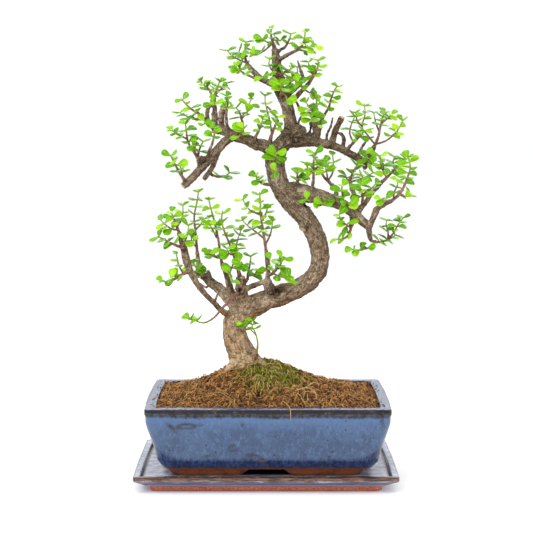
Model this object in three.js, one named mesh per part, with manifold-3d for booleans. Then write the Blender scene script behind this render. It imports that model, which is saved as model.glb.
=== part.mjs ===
// A dwarf jade bonsai in a glazed rectangular pot on its matching drip saucer.
// Millimetres, +Z up. The origin is on the ground under the middle of the saucer, and the front is -Y.

import * as THREE from "three";
import { mergeVertices } from "three/addons/utils/BufferGeometryUtils.js";
import Module from "manifold-3d";

const wasm = await Module();
wasm.setup();

// Driving dimensions
const GAP = 0.3;
const EYE = { x: 0.4, y: -1690, z: 375.6 };

// The bow is how far the middle of a short side stands out past its ends.
const SAUCER = { floor: 13.5, rimX: 135, rimY: 99.5, bow: 0.8, offCentre: 0 };
const POT = {
  rimX: 125, rimY: 96.5, bow: 2, offCentre: 1.8, rimWidth: 11.5, rimDepth: 7, foot: 7.5, floor: 5,
};

// The walls from the ground up. Each level is how far in from the rim, how high, and corner radius.
// The saucer's last two levels are inside it.
const SAUCER_WALL = [[18.5, 0, 5], [16.5, 1, 6], [16, 5.2, 6], [11, 6.8, 6], [1.5, 12.2, 4.5],
  [0, 13, 4], [0, 17.2, 4], [0.8, 18, 3.5], [7, 18, 3], [8.3, 13.5, 3]];
const POT_WALL = [[19, 21.3, 12], [17, 23.5, 13], [14.3, 26.5, 14], [11.6, 31.5, 14], [9.2, 43, 13],
  [3, 63, 11], [0.9, 72, 8], [0.9, 79, 6], [0, 80.3, 5], [0, 86.2, 4], [0.8, 87, 3.5]];
const POT_TOP = POT_WALL[POT_WALL.length - 1][1];
const POT_BASE = SAUCER.floor + GAP;
const POT_UNDERSIDE = POT_BASE + POT.foot;
const POT_FLOOR = POT_UNDERSIDE + POT.floor;

const FOOT = {
  halfX: 97, halfY: 70.5, width: 13, corner: 13, frontGap: 27, sideGap: 19, slope: 13,
  flareX: 9, flareY: 7, sunk: 3, offCentre: 0.2,
};
const DRAIN = { across: 52, radius: 9 };
const SCREEN = { size: 32, thick: 1.2, holes: 3, hole: 7.6 };
const SOIL_ROOM = {
  topX: POT.rimX - POT.rimWidth, topY: POT.rimY - POT.rimWidth, lowX: 102, lowY: 73.5, corner: 9,
};
const SOIL = { edge: 85, rise: 8, peak: 29, peakX: -8, peakY: 2, spreadX: 60, spreadY: 52, lump: 1.1 };

const LEAF = {
  widthRatio: 0.74, thickness: 2, bare: 1.6, shortest: 0.86, lengthRange: 0.28, tipSize: 0.88, lastPlace: 0.95,
  lift: 1.2, spread: 1.38, tipSpread: 1.12, spreadRange: 0.4, turnRange: 0.7, rollRange: 0.8, toFront: 0.55,
  keepOneIn: 14,
};
const SHOOT_TURN = 1.9;
const SPRAY_TURN = 2.3;
const BARK = { slack: 1.05 };
const STEM = { base: 1.5, tip: 1.1, sides: 3, slack: 2, fewestPairs: 3 };

const COLOURS = {
  glaze: 0x6480a8,
  soil: 0x7a5533,
  screen: 0x2c2f2e,
  bark: 0x7d6b55,
  leaf: 0x6fa51f,
};

// Limbs of the tree. Each point is across and up as seen from the front eye, depth behind
// the middle of the trunk, and radius. A limb starts on the nearest limb before it.
const LIMBS = [
  ["trunk", 8, [[-17, 62, 0, 9], [-18, 90, 0, 13], [-19.5, 108, 0, 17], [-20, 118, 0, 16],
    [-26, 130, 0, 14.5], [-31, 142, 0, 13.2], [-33.5, 156, 2, 12.5], [-30.5, 168, 3, 13],
    [-19, 178, 4, 12.5], [0, 187, 5, 11], [20, 194, 5, 10.8], [38, 202, 3, 10],
    [52, 214, 1, 9.7], [57.5, 229, 0, 9.3], [55, 247, -2, 9.8], [48, 265, -2, 9.8],
    [37, 280, -2, 10], [24, 294, -1, 10], [14, 311, 0, 10], [9.5, 330, 1, 10.2],
    [12, 345, 2, 9.4], [23, 360, 3, 7.6], [26, 371, 3, 7], [25, 380, 3, 6],
    [19.5, 400, 3, 6.6], [13, 412, 3, 5.4], [11.5, 430, 3, 5.3], [9.5, 451, 3, 3.4]]],
  ["root_left", 6, [[-24, 122, -2, 9], [-32, 119, -6, 7], [-40, 112, -10, 4.5], [-46, 104, -13, 3]]],
  ["root_right", 6, [[-14, 122, -3, 8], [-7, 119, -7, 6], [-1, 112, -12, 4.5], [3, 104, -16, 3]]],
  ["root_back", 5, [[-19, 120, 4, 9], [-15, 117, 14, 6], [-10, 108, 22, 3.5]]],
  ["burl", 5, [[27, 362, 2, 5], [32, 364, 0, 8.5], [37, 366, -2, 7.5], [41, 367, -3, 3]]],
  ["cut_knot", 5, [[42, 272, -4, 6], [40, 266, -10, 5], [38.5, 262, -13, 3.6]]],
  ["trunk_scar", 5, [[10, 194, 0, 5], [12, 197, -9, 4.8], [12.5, 198, -12, 3.4]]],

  ["left_bough", 6, [[10, 341, 2, 8], [3, 348, 1, 7], [-4, 351.5, -1, 6.3], [-11, 352.5, -3, 6],
    [-20, 357.5, -6, 5.7], [-30, 360, -9, 5.4], [-36, 361, -11, 5]]],
  ["left_low", 5, [[-34, 360, -10, 4.8], [-41, 357, -13, 4.5], [-50, 348, -18, 4.4], [-58, 339, -22, 4.3],
    [-66, 330, -25, 4.2], [-74, 321, -28, 4], [-81, 314, -30, 3.8], [-88, 308, -33, 3.5]]],
  ["left_low_knob", 4, [[-62, 335, -23, 3], [-67, 337, -30, 2.8], [-69, 338, -33, 2]]],
  ["left_low_cut", 4, [[-49, 349, -17, 3], [-53, 338, -13, 2.6], [-57, 328, -11, 2.5], [-66, 315, -9, 2.3]]],
  ["left_high", 5, [[-35, 361, -10, 5], [-42, 366, -4, 5], [-50, 368, 2, 4.8], [-55, 369, 6, 4]]],
  ["left_high_cut", 4, [[-46, 367, 0, 3.4], [-47, 375, -5, 3], [-47, 384, -8, 3], [-45, 390, -10, 2.7]]],
  ["left_high_dry", 3, [[-53, 369, 4, 1.8], [-52, 380, 0, 1.4], [-53, 393, -2, 1]]],

  ["right_high", 5, [[20, 356, 3, 7], [30, 355, 8, 6], [40.6, 355, 13, 5.3], [52.8, 354.5, 18, 4.8],
    [65, 352, 23, 4.3], [77, 348.5, 28, 3.9], [89, 342, 32, 3.7], [98, 337, 35, 3.8],
    [104, 333, 36, 4.3], [104, 327, 37, 2.6]]],
  ["right_high_cut", 4, [[51, 355, 17, 3.8], [52, 363, 14, 3.5], [53, 372, 10, 3.3], [52, 385, 6, 3.1],
    [48, 395, 3, 2.8]]],
  ["right_high_fork", 4, [[69, 352, 24, 3.6], [70.5, 358, 22, 3.3], [73, 367, 18, 3.1], [80, 381, 11, 2.8]]],
  ["right_high_dry", 3, [[64, 353, 23, 1.8], [64, 362, 27, 1.4], [68, 371, 32, 1.2], [70, 380, 36, 0.9]]],
  ["right_mid_dry", 3, [[96, 339, 34, 1.7], [102, 351, 38, 1.4], [108, 358, 42, 1.2], [113, 360, 45, 0.9]]],

  ["right_bough", 6, [[19, 302, 0, 8], [28, 304, -3, 8.6], [40.6, 301, -8, 8.5], [52.8, 298, -13, 8],
    [65, 294.5, -18, 6.8], [77, 290, -23, 6], [88, 284, -28, 5.5], [95, 277, -31, 5],
    [102, 271, -34, 4.4], [109, 265, -36, 3.6]]],
  ["right_bough_rise", 4, [[97, 277, -31, 3.4], [99, 284, -27, 3], [105, 291, -21, 2.7],
    [111, 300, -15, 2.4], [118, 308, -8, 2]]],
  ["right_bough_knot", 4, [[109, 266, -36, 3.4], [113, 274, -39, 2.8], [116, 282, -41, 3.2],
    [120, 287, -44, 2.4]]],
  ["right_dense", 4, [[86, 285, -27, 3.2], [91, 290, -22, 2.7], [93, 299, -16, 2.4], [90, 307, -10, 2.1]]],
  ["right_inner", 4, [[71, 292, -20, 3], [74, 300, -13, 2.3], [73, 306, -8, 2]]],

  ["low_bough", 5, [[-27, 173, 3, 9], [-34, 183, 9, 7.2], [-40, 190, 15, 6.5], [-48, 198, 22, 5.8],
    [-57, 205, 28, 5], [-65, 212, 33, 4.2], [-70, 218, 36, 3.4], [-72, 228, 39, 2.3]]],
  ["low_bough_stub", 4, [[-58, 206, 28, 2.6], [-60, 213, 24, 2.2], [-62, 219, 21, 1.9]]],
  ["low_front", 5, [[-36, 167, -2, 4.5], [-47, 176, -13, 3], [-55, 184, -21, 2.7], [-64, 193, -28, 2.7],
    [-72, 203, -33, 2.9], [-78, 213, -37, 3.1], [-82, 222, -39, 3.5], [-85, 232, -41, 4],
    [-87, 243, -43, 3.2], [-90, 252, -46, 2.6]]],
  ["low_stump", 6, [[-22, 179, 3, 7.5], [-25, 190, -1, 6.4], [-27, 202, -6, 5.6], [-27, 212, -10, 4.8]]],
  ["low_riser", 4, [[-31, 180, 5, 5], [-37, 196, 3, 4], [-41, 210, -1, 2.8], [-44, 219, -5, 2.3]]],
  ["middle_bridge", 4, [[-25, 197, -4, 3.2], [-15, 202, -8, 2.7], [-8, 205, -11, 2.5], [0, 208, -14, 2.4],
    [2, 216, -16, 2.2], [1, 230, -19, 2]]],
  ["bridge_knot", 5, [[3, 194, -9, 4.6], [2.5, 201, -12, 5], [2, 209, -14, 3.6]]],
];

// Dry twigs without leaves.
const DRY_TWIGS = [
  [[35, 405, 0, 1.9], [38, 418, -2, 1.7], [36, 430, 3, 1.5], [33, 440, 8, 1.1]],
  [[24, 394, 3, 1.7], [31, 397, 8, 1.4], [37, 386, 14, 1.2], [46, 384, 19, 0.9]],
  [[33, 366, 2, 1.7], [34, 375, 8, 1.3], [38, 384, 12, 1]],
  [[20, 358, 3, 2], [15, 369, 9, 1.5], [10, 382, 13, 1.2], [1, 392, 17, 0.9]],
  [[54, 356, 19, 2.2], [57, 372, 25, 1.8], [57, 386, 28, 1.5]],
  [[82, 350, 29, 2.3], [82, 358, 33, 2], [79, 363, 36, 1.6], [75, 364, 38, 1.2]],
  [[-59, 203, 28, 1.6], [-64, 201, 36, 1.3], [-70, 205, 44, 1]],
  [[-55, 184, -21, 1.5], [-53, 190, -26, 1.2], [-51, 195, -30, 0.9]],
];

// Leafy sprays: a woody twig that grows from the nearest limb, then the shoots that it carries.
// A shoot is pairs of leaves, leaf length, where along it the leaves start, and its points.
// The first shoot goes on from the twig's end, and the others start on the nearest earlier shoot.
const SPRAYS = [
  ["crown_left_spray", [[13, 413, 3, 3.4], [5, 416, 4, 3.2], [-5, 421, 7, 3], [-13, 428, 10, 2.8],
    [-19, 435, 13, 2.4]], [
    [3, 11, 0.5, [[-22, 443, 15], [-22, 452, 17], [-21, 460, 18]]],
    [4, 11, 0.25, [[-20, 437, 13], [-27, 440, 8], [-36, 445, 4], [-41, 451, 2]]],
    [2, 11, 0.5, [[-22, 444, 15], [-26, 447, 21], [-29, 449, 26]]],
    [3, 11, 0.4, [[-20, 437, 13], [-25, 431, 20], [-33, 433, 25]]]]],
  ["crown_low_left_spray", [[2, 418, 5, 2.2], [-6, 420, -2, 1.6], [-13, 422, -7, 1.4]], [
    [3, 11, 0.3, [[-20, 425, -11], [-27, 429, -14], [-34, 435, -16]]]]],
  ["crown_top_spray", [[9, 449, 3, 2.4], [8, 456, 2, 1.8]], [
    [3, 10, 0.35, [[6, 462, 0], [5, 468, -1], [6, 473, -2]]],
    [3, 11, 0.4, [[7, 458, 1], [1, 459, -6], [-4, 462, -12]]],
    [2, 11, 0.5, [[6, 461, 1], [11, 461, 9], [15, 460, 15]]],
    [3, 10, 0.5, [[7, 458, 1], [-2, 450, -8], [-11, 446, -14], [-18, 448, -18]]]]],
  ["crown_top_right_spray", [[10, 446, 4, 2], [15, 451, 7, 1.6], [19, 453, 10, 1.4]], [
    [3, 11, 0.3, [[22, 457, 12], [25, 464, 14], [26, 468, 15]]]]],
  ["crown_right_spray", [[10.5, 438, 3, 2.6], [15, 441.5, 0, 2.2], [21, 445, -4, 2], [27, 448, -8, 1.7]], [
    [4, 11, 0.35, [[33, 451, -12], [38, 456, -15], [40, 463, -17], [41, 470, -18]]],
    [3, 11, 0.35, [[36, 453, -13], [43, 454, -19], [51, 455, -24]]],
    [3, 11, 0.4, [[33, 451, -12], [38, 450, -5], [45, 449, 0]]]]],
  ["crown_far_right_spray", [[22, 391, 3, 3.4], [26, 397, 0, 2.7], [31, 401, -4, 2.5], [36, 407, -8, 2.3],
    [41, 412, -12, 2.1], [46, 418, -15, 1.9]], [
    [4, 12, 0.3, [[50, 424, -18], [53, 430, -20], [55, 436, -22], [54, 441, -23]]],
    [2, 11, 0.5, [[50, 424, -18], [46, 431, -13], [44, 439, -9]]],
    [2, 10, 0.5, [[49, 422, -17], [51, 424, -9], [52, 427, -3]]]]],
  ["crown_middle_spray", [[15, 409, 4, 2.6], [20, 411, 10, 1.8]], [
    [3, 12, 0.4, [[24, 415, 13], [27, 421, 15], [27, 427, 16]]],
    [3, 11, 0.35, [[25, 417, 14], [31, 421, 20], [33, 428, 24], [32, 434, 27]]],
    [2, 10, 0.5, [[24, 415, 13], [19, 421, 20], [17, 428, 25]]]]],
  ["crown_inner_spray", [[11.5, 424, 2, 2.2], [13, 425, -5, 1.7]], [
    [3, 11, 0.3, [[18, 427, -9], [24, 430, -12], [28, 432, -14]]],
    [3, 11, 0.35, [[14, 426, -7], [7, 429, -12], [3, 436, -16], [4, 442, -18]]],
    [1, 13, 0.9, [[9, 428, -11], [3, 425, -15], [-4, 422, -18]]]]],
  ["crown_front_spray", [[18, 403, 2, 3], [17, 405, -7, 1.8]], [
    [3, 14, 0.35, [[16, 408, -13], [16, 412, -18], [15, 415, -22]]],
    [1, 13, 0.8, [[16, 408, -13], [21, 402, -18], [22, 398, -20]]]]],
  ["crown_side_spray", [[38, 409, -9, 2], [40, 409, -16, 1.6]], [
    [3, 12, 0.45, [[38, 412, -20], [35, 415, -24], [34, 418, -26]]],
    [3, 11, 0.35, [[39, 410, -18], [46, 406, -20], [52, 402, -20], [56, 396, -19]]]]],

  ["left_top_spray", [[-52, 368, 4, 3.2], [-54, 374, 6, 2.7], [-55, 386, 9, 2.5]], [
    [3, 12, 0.62, [[-54, 396, 11], [-53, 406, 13], [-50, 415, 15], [-48, 419, 16]]],
    [3, 11, 0.45, [[-52, 408, 13], [-46, 411, 20], [-40, 417, 26]]],
    [3, 11, 0.4, [[-55, 389, 9], [-57, 393, 0], [-56, 397, -8]]]]],
  ["left_top_back_spray", [[-54, 369, 6, 2.6], [-60, 375, 13, 2.2], [-62, 386, 19, 2], [-58, 395, 24, 1.8]], [
    [4, 11, 0.5, [[-57, 402, 27], [-60, 410, 29], [-66, 415, 31], [-69, 419, 32]]],
    [2, 11, 0.5, [[-57, 402, 27], [-52, 405, 35], [-50, 409, 40]]]]],
  ["left_inner_spray", [[-37, 362, -10, 2.4], [-41, 372, -16, 1.7], [-42, 382, -20, 1.5]], [
    [4, 11, 0.35, [[-41, 391, -23], [-40, 398, -25], [-42, 404, -27]]],
    [1, 10, 0.7, [[-41, 390, -23], [-35, 392, -28]]]]],
  ["left_out_spray", [[-55, 369, 6, 2.6], [-59, 374, 8, 2.1], [-62, 377, 9, 1.8]], [
    [4, 11, 0.4, [[-70, 384, 4], [-77, 388, 0], [-84, 394, -4], [-89, 400, -7]]],
    [4, 12, 0.4, [[-64, 379, 8], [-72, 378, 17], [-80, 380, 24], [-92, 386, 32]]],
    [2, 11, 0.5, [[-63, 378, 8], [-65, 374, -3], [-66, 373, -11]]]]],
  ["left_front_spray", [[-67, 329, -26, 2.4], [-70, 336, -28, 1.8], [-75, 343, -31, 1.6]], [
    [4, 12, 0.4, [[-80, 350, -35], [-83, 358, -38], [-84, 367, -41], [-85, 375, -43]]],
    [3, 12, 0.35, [[-83, 357, -38], [-91, 362, -43], [-100, 367, -48]]],
    [3, 11, 0.4, [[-77, 345, -32], [-75, 350, -40], [-77, 354, -46]]]]],
  ["left_drop_spray", [[-69, 326, -26, 2.2], [-71, 331, -20, 1.8], [-72, 337, -14, 1.5]], [
    [3, 11, 0.4, [[-71, 344, -9], [-69, 350, -6], [-66, 356, -3]]]]],
  ["left_hook_spray", [[-61, 336, -23, 1.9], [-60, 345, -33, 1.5], [-57, 352, -38, 1.3]], [
    [3, 11, 0.45, [[-55, 360, -42], [-54, 366, -44], [-55, 370, -45]]]]],
  ["left_end_spray", [[-84, 312, -31, 2.2], [-87, 316, -36, 1.8]], [
    [4, 12, 0.35, [[-91, 322, -41], [-96, 331, -46], [-101, 341, -51]]],
    [3, 11, 0.4, [[-88, 318, -38], [-89, 324, -30], [-91, 330, -24]]]]],
  ["left_under_spray", [[-60, 323, -10, 1.9], [-57, 320, -4, 1.5]], [
    [3, 14, 0.35, [[-50, 318, 1], [-43, 319, 5], [-38, 323, 8]]]]],

  ["middle_left_spray", [[-25, 359, -7, 2.4], [-25, 368, -2, 1.7], [-25, 375, 2, 1.5]], [
    [3, 11, 0.35, [[-26, 380, 4], [-28, 386, 7], [-32, 391, 9]]],
    [3, 12, 0.4, [[-25, 379, 4], [-20, 386, 11], [-18, 394, 15], [-15, 401, 18]]]]],
  ["middle_front_spray", [[-26, 359, -8, 2.2], [-26, 362, -16, 1.7]], [
    [3, 12, 0.4, [[-25, 365, -20], [-24, 369, -24]]],
    [1, 11, 0.8, [[-25, 364, -19], [-29, 360, -24]]]]],
  ["middle_spray", [[-11, 353, -4, 2.1], [-11, 360, -11, 1.6]], [
    [3, 11, 0.4, [[-8, 366, -15], [-5, 373, -19], [-3, 381, -22]]]]],
  ["middle_right_spray", [[4, 349, 0, 2.6], [5, 360, -7, 2]], [
    [3, 11, 0.4, [[8, 368, -12], [11, 376, -16], [12, 382, -18]]],
    [4, 11, 0.35, [[6, 363, -9], [4, 376, -3], [1, 388, 1], [-1, 397, 4], [-1, 405, 6]]]]],
  ["trunk_front_spray", [[9, 329, 0, 4], [9, 331, -12, 2]], [
    [3, 14, 0.35, [[9, 334, -17], [10, 339, -21], [11, 344, -24]]],
    [1, 13, 0.8, [[9, 334, -17], [8, 328, -22], [10, 323, -25]]]]],
  ["trunk_left_spray", [[12, 309, 0, 3], [1, 310, -5, 1.7]], [
    [3, 13, 0.3, [[-4, 311, -8], [-9, 315, -11], [-11, 319, -13]]]]],

  ["right_top_spray", [[44, 355, 14, 3], [45, 363, 20, 2.5], [48, 373, 26, 2.2], [50, 380, 30, 1.8]], [
    [3, 11, 0.35, [[51, 386, 32], [53, 394, 34], [53, 400, 35]]]]],
  ["right_inner_spray", [[53, 371, 10, 2.4], [51, 374, 2, 1.8]], [
    [3, 14, 0.45, [[50, 377, -3], [48, 380, -8], [47, 383, -11]]],
    [3, 11, 0.4, [[51, 376, -1], [49, 386, -6], [45, 392, -10], [41, 397, -13]]],
    [1, 12, 0.8, [[50, 377, -3], [55, 374, -9], [58, 372, -13]]]]],
  ["right_shoot_spray", [[57, 373, 25, 1.9], [60, 381, 22, 1.6], [63, 386, 20, 1.4]], [
    [5, 11, 0.15, [[66, 391, 19], [68, 399, 17], [71, 407, 15], [75, 414, 14]]]]],
  ["right_arch_spray", [[85, 345, 30, 2.2], [88, 350, 23, 1.8], [91, 353, 18, 1.6]], [
    [4, 11, 0.3, [[95, 357, 13], [100, 362, 8], [104, 367, 4]]],
    [3, 11, 0.5, [[92, 354, 17], [88, 364, 25], [90, 374, 30], [94, 383, 33]]]]],
  ["right_far_spray", [[102, 335, 36, 3.4], [107, 336, 34, 3], [110, 343, 31, 2.8], [114, 350, 27, 2.4]], [
    [4, 11, 0.6, [[118, 360, 25], [120, 370, 26], [122, 379, 27], [125, 387, 28]]],
    [2, 11, 0.5, [[119, 366, 25], [115, 376, 30], [113, 386, 33]]],
    [3, 11, 0.5, [[121, 374, 26], [127, 379, 20], [132, 384, 16]]],
    [5, 11, 0.4, [[115, 352, 26], [106, 363, 37], [101, 371, 44], [104, 384, 50], [103, 395, 54]]],
    [3, 11, 0.5, [[101, 371, 44], [96, 377, 50], [94, 386, 54]]],
    [4, 11, 0.5, [[115, 352, 26], [126, 356, 16], [135, 363, 9], [141, 371, 4], [144, 379, 1]]]]],
  ["right_end_spray", [[104, 332, 36, 2.4], [108, 330, 29, 1.8]], [
    [3, 11, 0.35, [[109, 333, 24], [107, 338, 19], [104, 343, 15]]],
    [1, 11, 0.8, [[109, 332, 25], [114, 330, 20]]]]],

  ["right_drop_spray", [[92, 280, -30, 3.2], [91, 272, -34, 2.6], [90, 266, -37, 2.2]], [
    [4, 11, 0.35, [[89, 261, -40], [86, 255, -43], [80, 252, -46], [75, 252, -48]]],
    [3, 13, 0.3, [[90, 264, -38], [84, 268, -44], [79, 273, -48], [77, 279, -50]]]]],
  ["right_low_spray", [[109, 265, -36, 2.8], [109, 258, -32, 2.5], [111, 251, -28, 2.2]], [
    [5, 11, 0.3, [[117, 249, -23], [125, 250, -18], [132, 253, -13], [138, 257, -9]]],
    [3, 11, 0.4, [[116, 249, -24], [109, 243, -31], [99, 241, -39], [91, 241, -44]]],
    [4, 11, 0.35, [[130, 252, -14], [135, 259, -21], [140, 268, -26], [146, 276, -30]]],
    [3, 11, 0.4, [[129, 252, -15], [129, 260, -7], [127, 268, -1], [128, 273, 2]]]]],
  ["right_long_spray", [[119, 286, -43, 2.6], [126, 289.5, -47, 2.2], [133, 293, -50, 2]], [
    [6, 12, 0.42, [[140, 299, -52], [145, 307, -53], [149, 317, -54], [152, 328, -55], [149, 341, -56]]],
    [3, 11, 0.35, [[135, 295, -50], [135, 301, -42], [138, 308, -37], [140, 315, -34]]],
    [2, 11, 0.6, [[134, 294, -50], [127, 293, -58], [121, 294, -63]]],
    [2, 11, 0.6, [[140, 299, -52], [147, 297, -46], [152, 299, -42]]]]],
  ["right_rise_spray", [[117, 307, -9, 2.4], [121, 311.5, -5, 2], [125, 315, -2, 1.8]], [
    [5, 12, 0.3, [[130, 320, 3], [135, 325, 7], [142, 331, 11], [149, 338, 14]]],
    [4, 12, 0.35, [[127, 317, 0], [123, 325, -8], [121, 333, -13], [120, 341, -16]]],
    [3, 11, 0.5, [[135, 325, 7], [134, 333, 14], [135, 340, 19]]]]],
  ["right_dense_spray", [[91, 306, -11, 2.2], [89, 311, -7, 2]], [
    [4, 12, 0.25, [[89, 316, -4], [92, 324, 1], [96, 331, 5]]],
    [4, 12, 0.35, [[89, 313, -6], [97, 315, -14], [105, 318, -19], [114, 323, -23]]],
    [2, 12, 0.6, [[89, 313, -6], [85, 316, 3], [84, 320, 8]]]]],
  ["right_face_spray", [[80, 289, -24, 2.8], [81, 292, -33, 1.9]], [
    [3, 14, 0.3, [[81, 297, -38], [80, 304, -42], [80, 309, -44]]],
    [2, 13, 0.5, [[81, 294, -35], [86, 290, -41], [90, 287, -44]]]]],
  ["right_front_spray", [[104, 290, -22, 2.4], [102, 292, -31, 1.8]], [
    [3, 14, 0.3, [[102, 297, -36], [101, 303, -40], [98, 309, -43]]],
    [3, 12, 0.35, [[102, 298, -37], [109, 304, -42], [116, 311, -46]]]]],
  ["right_inner_rise_spray", [[73, 305, -8, 2.2], [70, 309, -3, 1.9], [67, 312, 0, 1.7]], [
    [4, 11, 0.35, [[61, 318, 5], [57, 326, 9], [53, 335, 12], [50, 341, 14]]],
    [3, 11, 0.45, [[65, 314, 1], [70, 322, 8], [71, 331, 12], [70, 342, 15]]],
    [2, 11, 0.6, [[64, 315, 2], [64, 322, -5], [62, 329, -9]]]]],
  ["bough_middle_spray", [[49, 299, -12, 3], [49, 308, -20, 1.8], [50, 316, -25, 1.5]], [
    [4, 12, 0.3, [[50, 325, -29], [50, 334, -32], [51, 344, -35]]],
    [2, 13, 0.6, [[50, 324, -29], [56, 330, -36], [61, 333, -40]]],
    [2, 13, 0.6, [[50, 322, -28], [44, 327, -33], [43, 333, -36]]]]],
  ["bough_top_spray", [[34, 303, -6, 3], [33, 313, -12, 1.8]], [
    [3, 14, 0.35, [[33, 318, -15], [33, 323, -18]]],
    [2, 13, 0.5, [[33, 315, -13], [39, 315, -18], [44, 317, -21]]]]],
  ["bough_under_spray", [[52, 297, -13, 3], [53, 290, -20, 1.6]], [
    [3, 11, 0.35, [[55, 288, -24], [60, 289, -29], [64, 292, -33]]],
    [1, 12, 0.9, [[54, 289, -22], [48, 292, -28], [42, 294, -32]]]]],

  ["low_back_spray", [[-72, 227, 38, 2.3], [-73, 238, 41, 2]], [
    [5, 11, 0.48, [[-74, 250, 44], [-75, 262, 46], [-76, 276, 48], [-73, 292, 50], [-71, 305, 51]]],
    [3, 11, 0.5, [[-73, 243, 42], [-78, 249, 36], [-80, 257, 32]]],
    [2, 11, 0.5, [[-75, 262, 46], [-69, 268, 53], [-66, 274, 58]]]]],
  ["low_tip_spray", [[-89, 250, -45, 2.8], [-92, 259, -48, 2.3]], [
    [3, 11, 0.5, [[-95, 267, -51], [-98, 275, -53], [-101, 282, -55]]],
    [4, 11, 0.35, [[-93, 262, -49], [-100, 263, -57], [-107, 268, -62], [-112, 273, -66]]],
    [3, 11, 0.4, [[-94, 265, -50], [-90, 272, -42], [-88, 280, -37], [-88, 289, -33]]]]],
  ["low_left_spray", [[-86, 241, -42, 2.6], [-89, 243, -50, 2]], [
    [4, 12, 0.35, [[-94, 245, -54], [-101, 248, -57], [-108, 252, -60], [-115, 255, -62]]],
    [3, 12, 0.35, [[-90, 245, -51], [-86, 250, -60], [-83, 258, -65], [-82, 268, -68]]]]],
  ["low_drop_spray", [[-80, 219, -38, 2.6], [-86, 216, -45, 1.8]], [
    [5, 12, 0.25, [[-92, 213, -50], [-98, 209, -53], [-105, 207, -56], [-111, 208, -58]]],
    [3, 11, 0.35, [[-88, 216, -46], [-92, 223, -41], [-94, 230, -38], [-95, 237, -36]]]]],
  ["low_inner_spray", [[-66, 213, 33, 2.4], [-68, 211, 24, 1.8]], [
    [3, 13, 0.3, [[-72, 214, 18], [-77, 218, 12], [-83, 218, 6]]],
    [3, 11, 0.4, [[-71, 213, 19], [-74, 221, 13], [-77, 228, 9]]]]],
  ["low_riser_spray", [[-44, 218, -4, 2.4], [-47, 227, -9, 2.1]], [
    [5, 11, 0.45, [[-49, 240, -13], [-51, 254, -16], [-55, 272, -20], [-59, 287, -23], [-61, 297, -25]]],
    [3, 13, 0.4, [[-48, 232, -10], [-54, 233, -18], [-61, 237, -25]]],
    [2, 11, 0.6, [[-51, 254, -16], [-57, 263, -24], [-61, 270, -29]]]]],
  ["low_front_spray", [[-27, 208, -8, 3], [-29, 217, -16, 1.9], [-31, 226, -21, 1.7]], [
    [5, 11, 0.4, [[-35, 237, -25], [-39, 248, -29], [-44, 260, -33], [-47, 272, -36], [-46, 282, -38]]],
    [5, 11, 0.3, [[-33, 232, -23], [-32, 241, -17], [-30, 252, -13], [-26, 263, -10]]],
    [3, 11, 0.5, [[-34, 235, -24], [-39, 237, -33], [-42, 243, -38]]],
    [3, 13, 0.4, [[-33, 231, -23], [-36, 223, -30], [-38, 215, -34], [-36, 205, -35]]],
    [2, 13, 0.5, [[-33, 231, -23], [-28, 225, -31], [-26, 226, -36]]]]],
  ["middle_low_spray", [[-26, 203, -6, 3], [-20, 209, -1, 1.8]], [
    [3, 11, 0.35, [[-19, 217, 3], [-17, 226, 6], [-16, 235, 8]]],
    [3, 12, 0.3, [[-19, 213, 1], [-13, 214, -5], [-10, 219, -9]]]]],
  ["middle_riser_spray", [[1, 228, -19, 2.2], [0, 240, -22, 2]], [
    [6, 11, 0.35, [[-2, 253, -25], [-4, 266, -28], [-6, 280, -31], [-6, 291, -33], [-7, 302, -35]]],
    [3, 11, 0.3, [[-6, 278, -31], [-14, 281, -37], [-20, 286, -41], [-25, 295, -45]]],
    [4, 11, 0.3, [[-2, 252, -25], [-11, 260, -18], [-19, 266, -14], [-26, 273, -11]]],
    [3, 11, 0.4, [[-1, 246, -24], [4, 256, -19], [6, 264, -15], [7, 272, -13]]],
    [2, 11, 0.5, [[-5, 272, -29], [0, 280, -24], [2, 288, -21]]]]],
  ["middle_face_spray", [[2, 214, -16, 2.2], [6, 215, -21, 1.7]], [
    [4, 13, 0.3, [[10, 219, -25], [15, 225, -29], [18, 232, -32]]],
    [4, 13, 0.3, [[7, 216, -22], [13, 213, -30], [20, 211, -34], [26, 210, -37]]],
    [2, 11, 0.5, [[8, 217, -23], [4, 225, -30], [4, 231, -34]]]]],
  ["long_low_spray", [[-27, 196, -4, 3], [-31, 195, -13, 1.6]], [
    [3, 14, 0.86, [[-38, 188, -19], [-47, 178, -26], [-56, 168, -31], [-66, 163, -35], [-75, 165, -38],
      [-84, 168, -40]]]]],
  ["basal_spray", [[-18, 120, -6, 4], [-10, 130, -16, 1.8]], [
    [3, 10, 0.72, [[-9, 141, -19], [-11, 151, -21], [-15, 160, -22], [-15, 167, -23]]],
    [2, 9, 0.8, [[-11, 150, -21], [-18, 157, -27], [-25, 163, -31]]]]],
];

// Small helpers

function material(colour, roughness, metalness = 0) {
  return new THREE.MeshStandardMaterial({ color: colour, roughness, metalness });
}

// A point read across and up from the eye, pushed along the line of sight to its depth.
function seenPoint([across, up, depth, radius]) {
  const away = (depth - EYE.y) / -EYE.y;
  const point = new THREE.Vector3(EYE.x + (across - EYE.x) * away, depth, EYE.z + (up - EYE.z) * away);
  point.radius = radius;
  return point;
}

// The same draws each time: one stream for each leaf or surface.
function seededRandom(seed) {
  let state = seed;
  const draw = () => {
    state = (Math.imul(state, 1664525) + 1013904223) >>> 0;
    return state / 4294967296;
  };
  draw();
  draw();
  return draw;
}

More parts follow.
